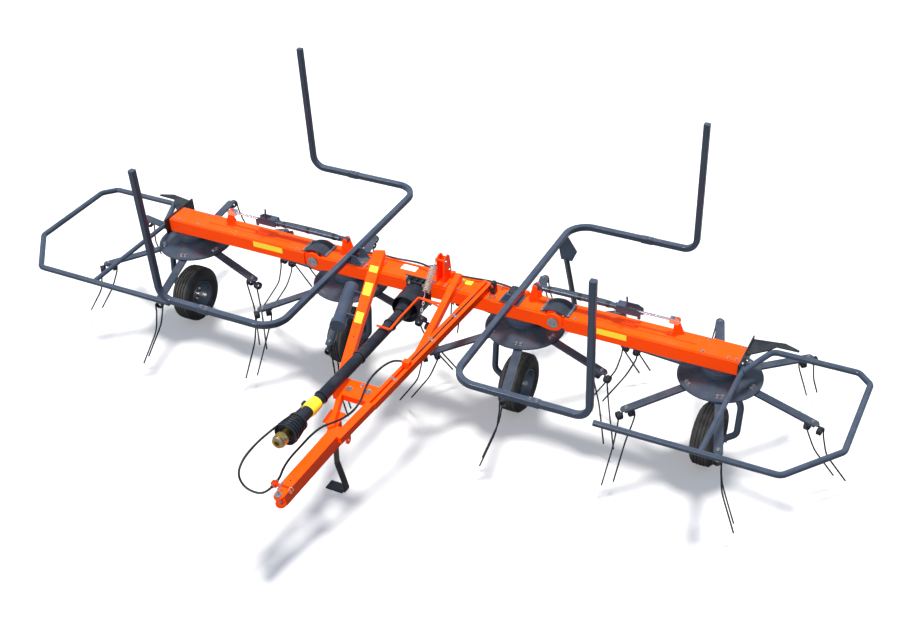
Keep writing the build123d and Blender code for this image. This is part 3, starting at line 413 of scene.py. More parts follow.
# ---------------------------------------------------------------- the bench
class Bench:
    """Edit-mode tools that shape one new mesh, and the calls that finish a piece."""

    def __init__(self, palette: Palette) -> None:
        """Keeps the palette that pieces are dressed from."""
        self.palette = palette
        self.count = 0

    # selection ----------------------------------------------------
    @staticmethod
    def clear() -> None:
        """Leaves nothing selected."""
        if bpy.context.mode != "OBJECT":
            bpy.ops.object.mode_set(mode="OBJECT")
        bpy.ops.object.select_all(action="DESELECT")

    @staticmethod
    def pick(faces: Optional[Callable] = None, edges: Optional[Callable] = None,
             verts: Optional[Callable] = None) -> int:
        """Selects parts of the edited mesh by their place or normal.

        Args:
            faces: test of a face.
            edges: test of an edge.
            verts: test of a vertex.

        Returns:
            How many parts were selected.
        """
        bpy.ops.mesh.select_all(action="DESELECT")
        mode = "FACE" if faces else "EDGE" if edges else "VERT"
        bpy.ops.mesh.select_mode(type=mode)
        data = bmesh.from_edit_mesh(bpy.context.object.data)
        items = data.faces if faces else data.edges if edges else data.verts
        test = faces or edges or verts
        found = 0
        for item in items:
            if test(item):
                item.select_set(True)
                found += 1
        data.select_flush_mode()
        bmesh.update_edit_mesh(bpy.context.object.data)
        return found

    # shapes -------------------------------------------------------
    def lathe(self, profile: Sequence[tuple[float, float]], steps: int = 32,
              smooth: float = 35.0) -> bpy.types.Object:
        """Spins a profile about Z into a closed shell.

        Args:
            profile: radius and height of each corner, from the bottom upwards.
            steps: faces round the axis.
            smooth: edges flatter than this, in degrees, are shaded smooth.

        Returns:
            The object, its axis on Z.
        """
        self.clear()
        bpy.ops.mesh.primitive_plane_add(size=0.001)
        bpy.ops.object.mode_set(mode="EDIT")
        bpy.ops.mesh.select_mode(type="VERT")
        bpy.ops.mesh.select_all(action="SELECT")
        bpy.ops.mesh.merge(type="CENTER")
        first = Vector((profile[0][0], 0, profile[0][1]))
        bpy.ops.transform.translate(value=first)
        last = first
        for radius, height in profile[1:]:
            here = Vector((radius, 0, height))
            bpy.ops.mesh.extrude_vertices_move(TRANSFORM_OT_translate={"value": here - last})
            last = here
        bpy.ops.mesh.select_all(action="SELECT")
        bpy.ops.mesh.spin(steps=steps, angle=math.tau, center=(0, 0, 0), axis=(0, 0, 1))
        bpy.ops.mesh.select_all(action="SELECT")
        bpy.ops.mesh.remove_doubles(threshold=0.00002)
        bpy.ops.mesh.normals_make_consistent(inside=False)
        return self._leave(smooth)

    def block(self, low: Triple, high: Triple, bevel: float = 0.0015, segments: int = 2,
              shape: Optional[Callable[[], None]] = None) -> bpy.types.Object:
        """A block between two corners, shaped further and with its edges broken.

        Args:
            low: lowest corner.
            high: highest corner.
            bevel: width of the broken edges.
            segments: faces across a broken edge.
            shape: more edit-mode work before the edges are broken.

        Returns:
            The object.
        """
        self.clear()
        low, high = Vector(low), Vector(high)
        bpy.ops.mesh.primitive_cube_add(size=1, location=(low + high) / 2)
        made = bpy.context.object
        made.scale = high - low
        bpy.ops.object.transform_apply(location=True, rotation=True, scale=True)
        bpy.ops.object.mode_set(mode="EDIT")
        if shape:
            shape()
        bpy.ops.mesh.select_all(action="SELECT")
        if bevel > 0:
            bpy.ops.mesh.bevel(offset=bevel, segments=segments, affect="EDGES")
        return self._leave(40.0)

    def wire(self, points: Iterable[Sequence[float]], radius: float, sides: int = 1, steps: int = 3,
             smooth: float = 60.0) -> bpy.types.Object:
        """A bent wire, rod or tube along a smooth line.

        Args:
            points: control points of the line.
            radius: half the wire's thickness.
            sides: roundness of the wire's section.
            steps: faces from one control point to the next.
            smooth: edges flatter than this, in degrees, are shaded smooth.

        Returns:
            The wire as a mesh.
        """
        self.clear()
        points = [Vector(p) for p in points]
        bpy.ops.curve.primitive_nurbs_path_add()
        line = bpy.context.object
        line.data.splines.clear()
        spline = line.data.splines.new("NURBS")
        spline.points.add(len(points) - 1)
        for point, place in zip(spline.points, points):
            point.co = (*place, 1)
        spline.order_u = 3
        spline.use_endpoint_u = True
        line.location = (0, 0, 0)
        line.data.dimensions = "3D"
        line.data.resolution_u = steps
        line.data.bevel_depth = radius
        line.data.bevel_resolution = sides
        line.data.use_fill_caps = True
        bpy.ops.object.convert(target="MESH")
        bpy.ops.object.mode_set(mode="EDIT")
        bpy.ops.mesh.select_all(action="SELECT")
        bpy.ops.mesh.remove_doubles(threshold=0.00001)
        bpy.ops.mesh.normals_make_consistent(inside=False)
        return self._leave(smooth)

    def plate(self, outline: Sequence[Triple], thickness: Triple, bevel: float = 0.001) -> bpy.types.Object:
        """A flat plate from its outline, pulled to a thickness.

        Args:
            outline: corners of one face.
            thickness: the way from that face to the other.
            bevel: width of the broken edges.

        Returns:
            The plate.
        """
        self.clear()
        bpy.ops.mesh.primitive_circle_add(vertices=len(outline), radius=0.1, fill_type="NGON")
        bpy.ops.object.mode_set(mode="EDIT")
        data = bmesh.from_edit_mesh(bpy.context.object.data)
        data.verts.ensure_lookup_table()
        for vert, place in zip(data.verts, outline):
            vert.co = Vector(place)
        bmesh.update_edit_mesh(bpy.context.object.data)
        bpy.ops.mesh.select_all(action="SELECT")
        bpy.ops.mesh.extrude_region_move(TRANSFORM_OT_translate={"value": thickness})
        bpy.ops.mesh.select_all(action="SELECT")
        bpy.ops.mesh.normals_make_consistent(inside=False)
        if bevel > 0:
            bpy.ops.mesh.bevel(offset=bevel, segments=2, affect="EDGES")
        return self._leave(40.0)

    def _leave(self, smooth: float) -> bpy.types.Object:
        """Leaves edit mode and sets the shading."""
        bpy.ops.object.mode_set(mode="OBJECT")
        made = bpy.context.object
        bpy.ops.object.transform_apply(location=True, rotation=True, scale=True)
        bpy.ops.object.shade_smooth_by_angle(angle=math.radians(smooth))
        return made

    # copies -------------------------------------------------------
    @staticmethod
    def copies(pattern: bpy.types.Object, places: Iterable[Matrix],
               keep: bool = False) -> list[bpy.types.Object]:
        """Copies a pattern to each place, each copy with its own mesh.

        Args:
            pattern: the piece that repeats.
            places: where each copy goes.
            keep: leave the pattern itself for more copies.

        Returns:
            The copies.
        """
        made = []
        for place in places:
            copy = pattern.copy()
            copy.data = pattern.data.copy()
            copy.data.transform(place)
            if place.determinant() < 0:
                copy.data.flip_normals()
            bpy.context.collection.objects.link(copy)
            made.append(copy)
        if not keep:
            bpy.data.objects.remove(pattern)
        return made

    def joined(self, parts: Sequence[bpy.types.Object]) -> bpy.types.Object:
        """Joins several meshes into one object."""
        self.clear()
        for part in parts:
            part.select_set(True)
        bpy.context.view_layer.objects.active = parts[0]
        if len(parts) > 1:
            bpy.ops.object.join()
        made = bpy.context.object
        self.clear()
        return made

    def finish(self, piece, name: str, body: str, finish: str, slot: str,
               replaces: Sequence[str] = ()) -> bpy.types.Object:
        """Names a piece, dresses it and puts it on its body.

        Args:
            piece: one object, or several to be joined.
            name: the piece's name.
            body: the body it rides on.
            finish: its finish.
            slot: the record's material slot; not used.
            replaces: CAD nodes that it stands for.

        Returns:
            The finished piece.
        """
        made = self.joined(piece) if isinstance(piece, (list, tuple)) else piece
        made.name = name
        made.data.name = name
        made.data.materials.clear()
        made.data.materials.append(self.palette[finish])
        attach(made, body)
        if replaces:
            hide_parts(*replaces)
        self.count += 1
        LOG.info("%s rides on %s", name, body)
        return made


    def spread(self, pattern: bpy.types.Object, places: Iterable[Matrix], name: str, body: str, finish: str,
               slot: str, keep: bool = False) -> bpy.types.Object:
        """Copies a pattern to its places and finishes the copies as one piece.

        Args:
            pattern: the part that repeats.
            places: where each copy goes.
            name: the piece's name.
            body: the body it rides on.
            finish: its finish.
            slot: the record's material slot, passed to finish, which does not use it.
            keep: leave the pattern itself for more copies.

        Returns:
            The finished piece.
        """
        return self.finish(self.copies(pattern, places, keep), name, body, finish, slot)

    def tube(self, inner: float, outer: float, half: float, steps: int = 32) -> bpy.types.Object:
        """A short open tube about Z, its middle at the origin.

        Args:
            inner: radius of its bore.
            outer: radius of its outside.
            half: half its length.
            steps: faces round the axis.

        Returns:
            The tube.
        """
        corners = [(inner, -half), (outer, -half), (outer, half), (inner, half), (inner, -half)]
        return self.lathe(corners, steps)


# ---------------------------------------------------------------- hoses
@dataclass(frozen=True)
class Hose:
    """A hydraulic hose: its length and its route, each point's Y counted from the main beam's line."""

    node: str
    length: float
    lay: str
    route: tuple[Triple, ...]


HOSES = (
    Hose("hose_drawbar", 1.195, "loose", (
        (0.212, -0.827, 0.733), (0.168, -0.827, 0.733), (0.122, -0.862, 0.722), (0.094, -0.930, 0.709),
        (0.082, -1.010, 0.697), (0.090, -1.090, 0.684), (0.115, -1.175, 0.674), (0.120, -1.260, 0.657),
        (0.100, -1.340, 0.652), (0.064, -1.405, 0.650), (0.010, -1.455, 0.640), (-0.035, -1.520, 0.606),
        (-0.060, -1.600, 0.573), (-0.082, -1.690, 0.548), (-0.084, -1.768, 0.524), (-0.068, -1.826, 0.510),
        (-0.068, -1.866, 0.510))),
    Hose("hose_nose_loop", 0.850, "hanging", (
        (-0.068, -1.896, 0.510), (-0.068, -1.934, 0.510), (-0.118, -1.964, 0.482), (-0.212, -1.972, 0.500),
        (-0.262, -1.956, 0.570), (-0.264, -1.888, 0.630), (-0.232, -1.790, 0.682), (-0.190, -1.690, 0.716),
        (-0.150, -1.590, 0.735), (-0.116, -1.500, 0.742), (-0.116, -1.445, 0.742))),
    Hose("hose_beam_left", 0.652, "loose", (
        (-0.630, 0.060, 0.797), (-0.578, 0.060, 0.797), (-0.496, 0.079, 0.799), (-0.412, 0.084, 0.799),
        (-0.328, 0.078, 0.800), (-0.240, 0.084, 0.804), (-0.154, 0.079, 0.812), (-0.078, 0.060, 0.815),
        (-0.030, 0.050, 0.810), (0.016, 0.050, 0.810))),
    Hose("hose_beam_right", 0.512, "loose", (
        (0.124, 0.050, 0.810), (0.168, 0.050, 0.810), (0.250, 0.070, 0.801), (0.336, 0.085, 0.799),
        (0.420, 0.086, 0.799), (0.498, 0.078, 0.800), (0.578, 0.060, 0.797), (0.630, 0.060, 0.797))),
)


@dataclass
class Hoses:
    """The free hydraulic hoses, each a smooth line along its route."""

    bench: Bench
    diameter: float = 0.014

    def _line(self, route: Sequence[Triple]) -> bpy.types.Object:
        """A round hose whose control points are its route's points."""
        self.bench.clear()
        bpy.ops.curve.primitive_nurbs_path_add()
        line = bpy.context.object
        line.data.splines.clear()
        spline = line.data.splines.new("NURBS")
        spline.points.add(len(route) - 1)
        for point, place in zip(spline.points, route):
            point.co = (*spot(*place), 1)
        spline.order_u = 3
        spline.use_endpoint_u = True
        spline.resolution_u = 10
        line.location = (0, 0, 0)
        line.data.dimensions = "3D"
        line.data.bevel_depth = self.diameter / 2
        line.data.bevel_resolution = 4
        line.data.use_fill_caps = True
        return line

    def build(self) -> None:
        for hose in HOSES:
            line = self._line(hose.route)
            self.bench.finish(line, f"{hose.node}_rubber", "chassis", "hose_rubber", "hose_rubber",
                              [hose.node])


# ---------------------------------------------------------------- fasteners
@dataclass
class Fasteners:
    """Hex bolts with washers, made once for each size and copied to their places."""

    bench: Bench
    across: float = 0.019
    head: float = 0.008

    def bolt(self, scale: float = 1.0, stud: float = 0.0) -> bpy.types.Object:
        """One bolt head on its washer, standing on Z = 0.

        Args:
            scale: size against an M12 bolt.
            stud: length of thread that stands out of a nut.

        Returns:
            The bolt.
        """
        across, head = self.across * scale, self.head * scale
        washer = self.bench.lathe([(0.0, -0.001), (across * 0.72, -0.001), (across * 0.74, 0.0012 * scale),
                                   (across * 0.68, 0.0022 * scale), (0.0, 0.0022 * scale)], 20)
        self.bench.clear()
        bpy.ops.mesh.primitive_cylinder_add(vertices=6, radius=across / 1.732, depth=head,
                                            location=(0, 0, head / 2 + 0.002 * scale))
        bpy.ops.object.mode_set(mode="EDIT")
        self.bench.pick(faces=lambda f: f.normal.z > 0.9)
        bpy.ops.mesh.inset(thickness=across * 0.07)
        bpy.ops.transform.translate(value=(0, 0, head * 0.12))
        self.bench.pick(edges=lambda e: abs(e.verts[0].co.z - e.verts[1].co.z) > head * 0.5)
        bpy.ops.mesh.bevel(offset=across * 0.03, segments=1, affect="EDGES")
        parts = [washer, self.bench._leave(30.0)]
        if stud > 0:
            thread = self.bench.lathe([(0.0, head), (across * 0.32, head), (across * 0.32, head + stud * 0.9),
                                       (across * 0.27, head + stud), (0.0, head + stud)], 12)
            parts.append(thread)
        return self.bench.joined(parts)


# ---------------------------------------------------------------- wheels
@dataclass
class Wheels:
    """Ribbed implement tyres on dished steel rims."""

    bench: Bench
    fasteners: Fasteners
    radius: float = 0.2025
    width: float = 0.160
    rim: float = 0.104
    wheel_y: float = BEAM_Y - 0.120
    ribs: int = 5
    groove: float = 0.0055
    stud_circle: float = 0.040

    def _tyre_profile(self) -> list[tuple[float, float]]:
        """Radius and width of the tyre's section, with a groove between each two ribs."""
        half = self.width / 2
        wall = [(self.rim, -half + 0.024), (self.rim + 0.006, -half + 0.016),
                (self.rim + 0.022, -half + 0.005), (self.rim + 0.045, -half),
                (self.radius - 0.040, -half + 0.003), (self.radius - 0.022, -half + 0.012),
                (self.radius - 0.010, -half + 0.024)]
        crown = []
        tread = self.width - 0.052
        pitch = tread / self.ribs
        for i in range(self.ribs):
            start = -tread / 2 + i * pitch
            rise = self.radius - 0.0035 * abs((i + 0.5) / self.ribs * 2 - 1) ** 2
            crown += [(rise - 0.0005, start + 0.004), (rise, start + 0.007), (rise, start + pitch - 0.007),
                      (rise - 0.0005, start + pitch - 0.004)]
            if i < self.ribs - 1:
                floor, end = rise - self.groove, start + pitch
                crown += [(floor, end - 0.002), (floor, end + 0.002)]
        return wall + crown + [(r, -z) for r, z in reversed(wall)]

    def build(self) -> None:
        """Makes the four wheels."""
        profile = self._tyre_profile()
        tyre = self.bench.lathe(profile + [profile[0]], 56, 50.0)
        bolt = self.fasteners.bolt(0.95)
        cap = self.bench.lathe([(0.0, 0.052), (0.012, 0.052), (0.018, 0.050), (0.021, 0.046), (0.0215, 0.030),
                                (0.0, 0.030)], 24)
        valve = self.bench.lathe([(0.0, 0.0), (0.0045, 0.0), (0.0045, 0.022), (0.006, 0.022), (0.006, 0.034),
                                  (0.0, 0.034)], 12)
        for corner in Corner:
            x = corner.value[0]
            hub = Vector((x, self.wheel_y, self.radius))
            turn = aimed(hub, (1, 0, 0))
            body = f"wheel_{corner.tag}"
            piece = self.bench.copies(tyre, [turn], keep=True)[0]
            self.bench.finish(piece, f"ribbed_tyre_{corner.tag}", body, "tread_rubber", "tyre_rubber",
                              [f"tyre_{corner.tag}"])
            open_side = -1 if corner in (Corner.INNER_LEFT, Corner.OUTER_RIGHT) else 1
            trims = []
            for i in range(5):
                angle = math.tau * (i + 0.5) / 5
                ring = Vector((0, math.cos(angle), math.sin(angle))) * self.stud_circle
                trims.append(aimed(hub + ring + Vector((open_side * 0.014, 0, 0)), (open_side, 0, 0)))
            nuts = self.bench.copies(bolt, trims, keep=True)
            nuts += self.bench.copies(cap, [aimed(hub, (open_side, 0, 0))], keep=True)
            self.bench.finish(nuts, f"wheel_nuts_{corner.tag}", body, "zinc_plate", "zinc_steel")
            stem = aimed(hub + Vector((open_side * 0.03, 0.083, 0)), (open_side, 0, 0))
            self.bench.spread(valve, [stem], f"valve_{corner.tag}", body, "moulded_black", "black_plastic",
                              keep=True)
        for used in (tyre, bolt, cap, valve):
            bpy.data.objects.remove(used)


# ---------------------------------------------------------------- rotors
@dataclass
class Rotors:
    """The four spinning rotors: sprung double tines, clamps and fastenings."""

    bench: Bench
    fasteners: Fasteners
    wire: float = 0.0054
    coil_radius: float = 0.0235
    coil_z: float = 0.490
    roots: tuple[float, float] = (0.603, 0.683)
    turns: float = 3.25
    pitch: float = 0.0098
    reach: float = 0.165
    lean: float = 0.105
    tip_z: float = 0.085
    arm_tip: float = 0.655
    arm_top_z: float = 0.532
    disc_z: float = 0.592
    rim_bolts: float = 0.222

    def _spring(self, root: float, sense: int, outward: int) -> list[Vector]:
        """Points of one coil and its leg, from the top between the coils to the tip.

        Args:
            root: radius of the coil's middle.
            sense: the rotor's turning sense.
            outward: 1 where the coil runs outwards, -1 inwards.

        Returns:
            Control points.
        """
        per_turn = 10
        count = int(self.turns * per_turn)
        start_x = root - outward * self.turns * self.pitch / 2
        points = []
        for i in range(count + 1):
            angle = math.pi / 2 + math.tau * 3 - math.tau * i / per_turn
            points.append(Vector((start_x + outward * self.pitch * i / per_turn,
                                  sense * self.coil_radius * 1.02 * math.cos(angle),
                                  self.coil_z + self.coil_radius * 1.02 * math.sin(angle))))
        end = points[-1]
        side = sense * self.coil_radius
        tip = Vector((root + self.reach, side + sense * self.lean, self.tip_z))
        knee = Vector((root + self.reach * 0.30, side + sense * self.lean * 0.15, self.coil_z - 0.190))
        points += [Vector((end.x, side, self.coil_z - 0.015)),
                   Vector((end.x * 0.9 + knee.x * 0.1, side, self.coil_z - 0.05)),
                   (end + knee) / 2 + Vector((0, 0, -0.02)), knee, (knee * 2 + tip) / 3, tip]
        return points

    def _double_tine(self, sense: int) -> bpy.types.Object:
        """One double tine on an arm along X."""
        inner = self._spring(self.roots[0], sense, -1)
        outer = self._spring(self.roots[1], sense, 1)
        line = list(reversed(inner)) + outer
        return self.bench.wire(line, self.wire, 1, 2)

    def _clamp(self) -> bpy.types.Object:
        """The curved clamp over the arm's end, with its tongue down between the coils."""
        wide, narrow = 0.023, 0.012
        back, bend, front = self.arm_tip - 0.045, self.arm_tip + 0.006, self.arm_tip + 0.018
        high, mid, low = self.arm_top_z + 0.0005, self.arm_top_z - 0.003, self.arm_top_z - 0.010
        saddle = [(back, -wide, high), (back, wide, high), (bend, wide, mid), (front, narrow, low),
                  (front, -narrow, low), (bend, -wide, mid)]
        return self.bench.plate(saddle, (0, 0, 0.005), 0.0012)

    def build(self) -> None:
        """Makes the tines, clamps and bolts of the four rotors."""
        tine = {sense: self._double_tine(sense) for sense in (-1, 1)}
        clamp = self._clamp()
        bolt = self.fasteners.bolt(1.15)
        small = self.fasteners.bolt(0.85)
        for corner in Corner:
            x, sense, phase = corner.value
            centre = Matrix.Translation((x, BEAM_Y, 0))
            turns = [centre @ Matrix.Rotation(math.radians(phase + i * 60), 4, "Z") for i in range(6)]
            body = f"rotor_{corner.tag}"
            springs = self.bench.copies(tine[sense], turns, keep=True)
            self.bench.finish(springs, f"sprung_tines_{corner.tag}", body, "coated_wire", "spring_steel",
                              [f"tines_{corner.tag}"])
            clamps = self.bench.copies(clamp, turns, keep=True)
            self.bench.finish(clamps, f"tine_clamps_{corner.tag}", body, "rotor_enamel", "grey_paint")
            slope = math.atan2(0.047, 0.42)
            places = []
            for turn in turns:
                for across in (-0.014, 0.014):
                    places.append(turn @ aimed((self.rim_bolts, across, self.disc_z + 0.0035), (0, 0, 1)))
            heads = self.bench.copies(bolt, places, keep=True)
            tilt = (math.sin(slope), 0, math.cos(slope))
            seat = aimed((self.arm_tip - 0.020, 0, self.arm_top_z + 0.0055), tilt)
            heads += self.bench.copies(small, [turn @ seat for turn in turns], keep=True)
            self.bench.finish(heads, f"arm_bolts_{corner.tag}", body, "zinc_plate", "zinc_steel")
        for used in (*tine.values(), clamp, bolt, small):
            bpy.data.objects.remove(used)


# ---------------------------------------------------------------- beam
@dataclass
class BeamTrim:
    """Lid creases, ribs, bolts, marker strips and end details of the three beam sections."""

    bench: Bench
    fasteners: Fasteners
    top: float = 0.784
    low: float = 0.689
    wing_half: float = 0.090
    centre_half: float = 0.095
    wing_start: float = 0.965
    wing_end: float = 2.096
    hinge_x: float = 0.889
    hinge_z: float = 0.738

    def _bolts(self, side: Side) -> None:
        """Bolt heads along the lid's edges and on the end plate."""
        sign = side.value
        head = self.fasteners.bolt(0.8)
        wing = [(sign * x, BEAM_Y + y, self.top) for x in (1.86, 2.07) for y in (-0.066, 0.066)]
        wing += [(sign * 2.02, BEAM_Y - 0.066, self.top), (sign * 1.03, BEAM_Y - 0.066, self.top)]
        places = [aimed(place, (0, 0, 1)) for place in wing]
        places += [aimed((sign * (self.wing_end + 0.008), BEAM_Y + y, z), (sign, 0, 0))
                   for y in (-0.055, 0.055) for z in (self.low + 0.018, self.top - 0.022)]
        self.bench.finish(self.bench.copies(head, places), f"wing_bolts_{side.tag}", f"wing_{side.tag}",
                          "zinc_plate", "zinc_steel")

    def _rib(self, side: Side) -> None:
        """The pressed rib along the wing's lid and the crease beside the folded edge."""
        sign = side.value
        x0, x1 = sorted((sign * 1.12, sign * 1.80))
        rib = self.bench.block((x0, BEAM_Y - 0.016, self.top - 0.001), (x1, BEAM_Y - 0.004, self.top + 0.004),
                               0.003, 3)
        parts = [rib]
        x0, x1 = sorted((sign * (self.wing_start + 0.01), sign * (self.wing_end - 0.004)))
        for end in (-1, 1):
            y0, y1 = sorted((BEAM_Y + end * 0.0795, BEAM_Y + end * 0.0815))
            parts.append(self.bench.block((x0, y0, self.top - 0.004), (x1, y1, self.top - 0.001), 0.0006, 1))
        self.bench.finish(parts, f"lid_rib_{side.tag}", f"wing_{side.tag}", "orange_enamel", "orange_paint")

    def _strips(self, side: Side) -> None:
        """The plain yellow marker strip on the wing's front face."""
        sign = side.value
        x0, x1 = sorted((sign * 1.14, sign * 1.38))
        front = BEAM_Y - self.wing_half
        strip = self.bench.block((x0, front - 0.0012, self.top - 0.050),
                                 (x1, front + 0.0005, self.top - 0.008), 0.0005, 1)
        self.bench.finish(strip, f"marker_strip_{side.tag}", f"wing_{side.tag}", "warning_yellow",
                          "orange_paint")

    def _pins(self) -> None:
        """The turned faces of the hinge pins' heads."""
        rim, step, boss = 0.0365, 0.022, 0.004
        face = self.bench.lathe([(0.0, -0.002), (rim, -0.002), (rim, 0.0015), (0.033, 0.003), (0.024, 0.003),
                                 (step, 0.0005), (0.012, 0.0005), (0.009, 0.006), (boss, 0.0065),
                                 (boss, 0.002), (0.0, 0.002)], 40)
        reach = self.centre_half + 0.009
        places = [aimed(spot(side.value * self.hinge_x, end * reach, self.hinge_z), (0, end, 0))
                  for side in Side for end in (-1, 1)]
        self.bench.spread(face, places, "hinge_pin_faces", "chassis", "zinc_plate", "zinc_steel")

    def build(self) -> None:
        """Makes the trim of the beam."""
        for side in Side:
            self._bolts(side)
            self._rib(side)
            self._strips(side)
        self._pins()


@dataclass
class HingeFlaps:
    """Rubber sheets that bulge over the hinge gaps, held by a metal strip at each end."""

    bench: Bench
    fasteners: Fasteners
    top: float = 0.785
    start: float = 0.790
    end: float = 0.990
    half: float = 0.072
    rise: float = 0.026
    thickness: float = 0.006
    hinge_x: float = 0.889

    def _sheet(self, side: Side) -> bpy.types.Object:
        """The bulging rubber, finely divided."""
        sign = side.value
        length = self.end - self.start
        self.bench.clear()
        middle = spot(sign * (self.start + length / 2), 0, self.top + self.thickness)
        bpy.ops.mesh.primitive_grid_add(x_subdivisions=28, y_subdivisions=10, size=1, location=middle)
        made = bpy.context.object
        made.scale = (length, self.half * 2, 1)
        bpy.ops.object.transform_apply(location=True, rotation=True, scale=True)
        for vert in made.data.vertices:
            share = (abs(vert.co.x) - self.start) / length
            inner = min(1.0, max(0.0, (share - 0.09) / 0.78))
            edge = 1 - 0.10 * abs((vert.co.y - BEAM_Y) / self.half) ** 4
            vert.co.z += self.rise * math.sin(math.pi * inner) ** 0.8 * edge
        wall = made.modifiers.new("thickness", "SOLIDIFY")
        wall.thickness = self.thickness
        wall.offset = -1
        bpy.context.view_layer.objects.active = made
        bpy.ops.object.modifier_apply(modifier=wall.name)
        bpy.ops.object.mode_set(mode="EDIT")
        bpy.ops.mesh.select_all(action="SELECT")
        bpy.ops.mesh.normals_make_consistent(inside=False)
        return self.bench._leave(45.0)

    def build(self) -> None:
        """Makes both flaps with their strips."""
        screw = self.fasteners.bolt(0.6)
        for side in Side:
            sign = side.value
            sheet = self._sheet(side)
            name = f"rubber_flap_{side.tag}"
            sheet.name = name
            sheet.data.materials.clear()
            sheet.data.materials.append(self.bench.palette["sheet_rubber"])
            f"wing_{side.tag}"
            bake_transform(sheet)
            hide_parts(f"hinge_flap_{side.tag}")
            for label, body, x in (("inner", "chassis", self.start + 0.009),
                                   ("outer", f"wing_{side.tag}", self.end - 0.011)):
                x0, x1 = sorted((sign * (x - 0.008), sign * (x + 0.008)))
                z = self.top + self.thickness
                strip = self.bench.block((x0, BEAM_Y - self.half + 0.004, z - 0.0005),
                                         (x1, BEAM_Y + self.half - 0.004, z + 0.0025), 0.0008, 1)
                heads = self.bench.copies(screw, [aimed((sign * x, BEAM_Y + y, z + 0.0025), (0, 0, 1))
                                                  for y in (-0.045, 0.045)], keep=True)
                self.bench.finish([strip, *heads], f"flap_strip_{label}_{side.tag}", body, "zinc_plate",
                                  "zinc_steel")
        bpy.data.objects.remove(screw)


# ---------------------------------------------------------------- the spring and its tower
@dataclass
class FloatSpring:
    """The spring from the tower to the middle leg, its chain, the tower's bolts and the rest hook."""

    bench: Bench
    fasteners: Fasteners
    upper: Triple = (0.032, -0.022, 0.948)
    lower: Triple = (0.042, -0.236, 0.770)
    turns: int = 17
    per_turn: int = 8
    eye_steps: int = 9
    radius: float = 0.0250
    wire: float = 0.0034
    lead: float = 0.052
    eye: float = 0.0125
    eye_shift: float = 0.001
    links: int = 4
    hook_radius: float = 0.0072
    hook_bend: float = 0.02
    hook: tuple[Triple, ...] = ((0.205, -0.300, 0.788), (0.140, -0.300, 0.812), (0.043, -0.300, 0.826),
                                (-0.014, -0.467, 0.754), (-0.016, -0.585, 0.745), (-0.098, -0.608, 0.772))

    def _coil(self) -> bpy.types.Object:
        """The coils with an eye round the pin at either end."""
        start, end = spot(*self.upper), spot(*self.lower)
        along = (end - start).normalized()
        side = along.cross(Vector((1, 0, 0))).normalized()
        across = Vector((1, 0, 0))
        length = (end - start).length
        points = []
        for step in range(self.eye_steps):
            turn = math.radians(-150 + step * 37.5)
            rise, reach = self.eye * math.sin(turn) + self.eye_shift, self.eye * math.cos(turn)
            points.append(start + along * rise + side * reach)
        coils = length - 2 * self.lead
        points.append(start + along * (self.lead * 0.55))
        steps = self.turns * self.per_turn
        for step in range(steps + 1):
            turn = step / self.per_turn * math.tau
            rise = self.lead + coils * step / steps
            swing = side * math.cos(turn) + across * math.sin(turn)
            points.append(start + along * rise + swing * self.radius)
        points.append(end - along * (self.lead * 0.55))
        for step in range(self.eye_steps):
            turn = math.radians(-30 + step * 37.5)
            rise, reach = self.eye * math.sin(turn) - self.eye_shift, self.eye * math.cos(turn)
            points.append(end + along * rise + side * reach)
        return self.bench.wire(points, self.wire, 2, 2)

    def _chain(self) -> list[bpy.types.Object]:
        """Links that hang from the lower eye."""
        self.bench.clear()
        bpy.ops.mesh.primitive_torus_add(major_radius=0.0075, minor_radius=0.0021, major_segments=12,
                                         minor_segments=6)
        link = self.bench.joined([bpy.context.object])
        link.data.transform(Matrix.Diagonal((1.0, 1.5, 1.0, 1.0)))
        top, foot = spot(0.046, -0.252, 0.752), spot(0.044, -0.286, 0.694)
        turn = (foot - top).to_track_quat("Y", "Z").to_matrix().to_4x4()
        places = []
        for index in range(self.links):
            place = top.lerp(foot, index / (self.links - 1))
            twist = Matrix.Rotation(math.radians(90 * (index % 2)), 4, "Y")
            places.append(Matrix.Translation(place) @ turn @ twist)
        return self.bench.copies(link, places)

    def _rest_hook(self) -> bpy.types.Object:
        """The bent rod over the power shaft, tight at each of its corners."""
        corners = [spot(*place) for place in self.hook]
        route = [corners[0]]
        for before, here, after in zip(corners, corners[1:], corners[2:]):
            route += [here.lerp(before, self.hook_bend / (here - before).length), here,
                      here.lerp(after, self.hook_bend / (after - here).length)]
        return self.bench.wire([*route, corners[-1]], self.hook_radius, 3, 4)

    def build(self) -> None:
        """Makes the spring, the chain, the rest hook and the tower's bolts."""
        self.bench.finish(self._coil(), "float_spring_coils", "chassis", "bronzed_spring", "spring_steel",
                          ["float_spring"])
        self.bench.finish(self._chain(), "spring_chain", "chassis", "zinc_plate", "spring_steel")
        self.bench.finish(self._rest_hook(), "rest_hook_rod", "chassis", "orange_enamel", "zinc_steel",
                          ["shaft_rest_hook"])
        head = self.fasteners.bolt(0.85)
        places = [aimed(spot(x, y, DECK), (0, 0, 1)) for x in (0.028, 0.110) for y in (-0.060, 0.048)]
        places += [aimed(spot(0.100, y, z), (1, 0, 0)) for y, z in ((-0.022, 0.948), (0.022, 0.862))]
        self.bench.spread(head, places, "tower_bolts", "chassis", "zinc_plate", "zinc_steel")


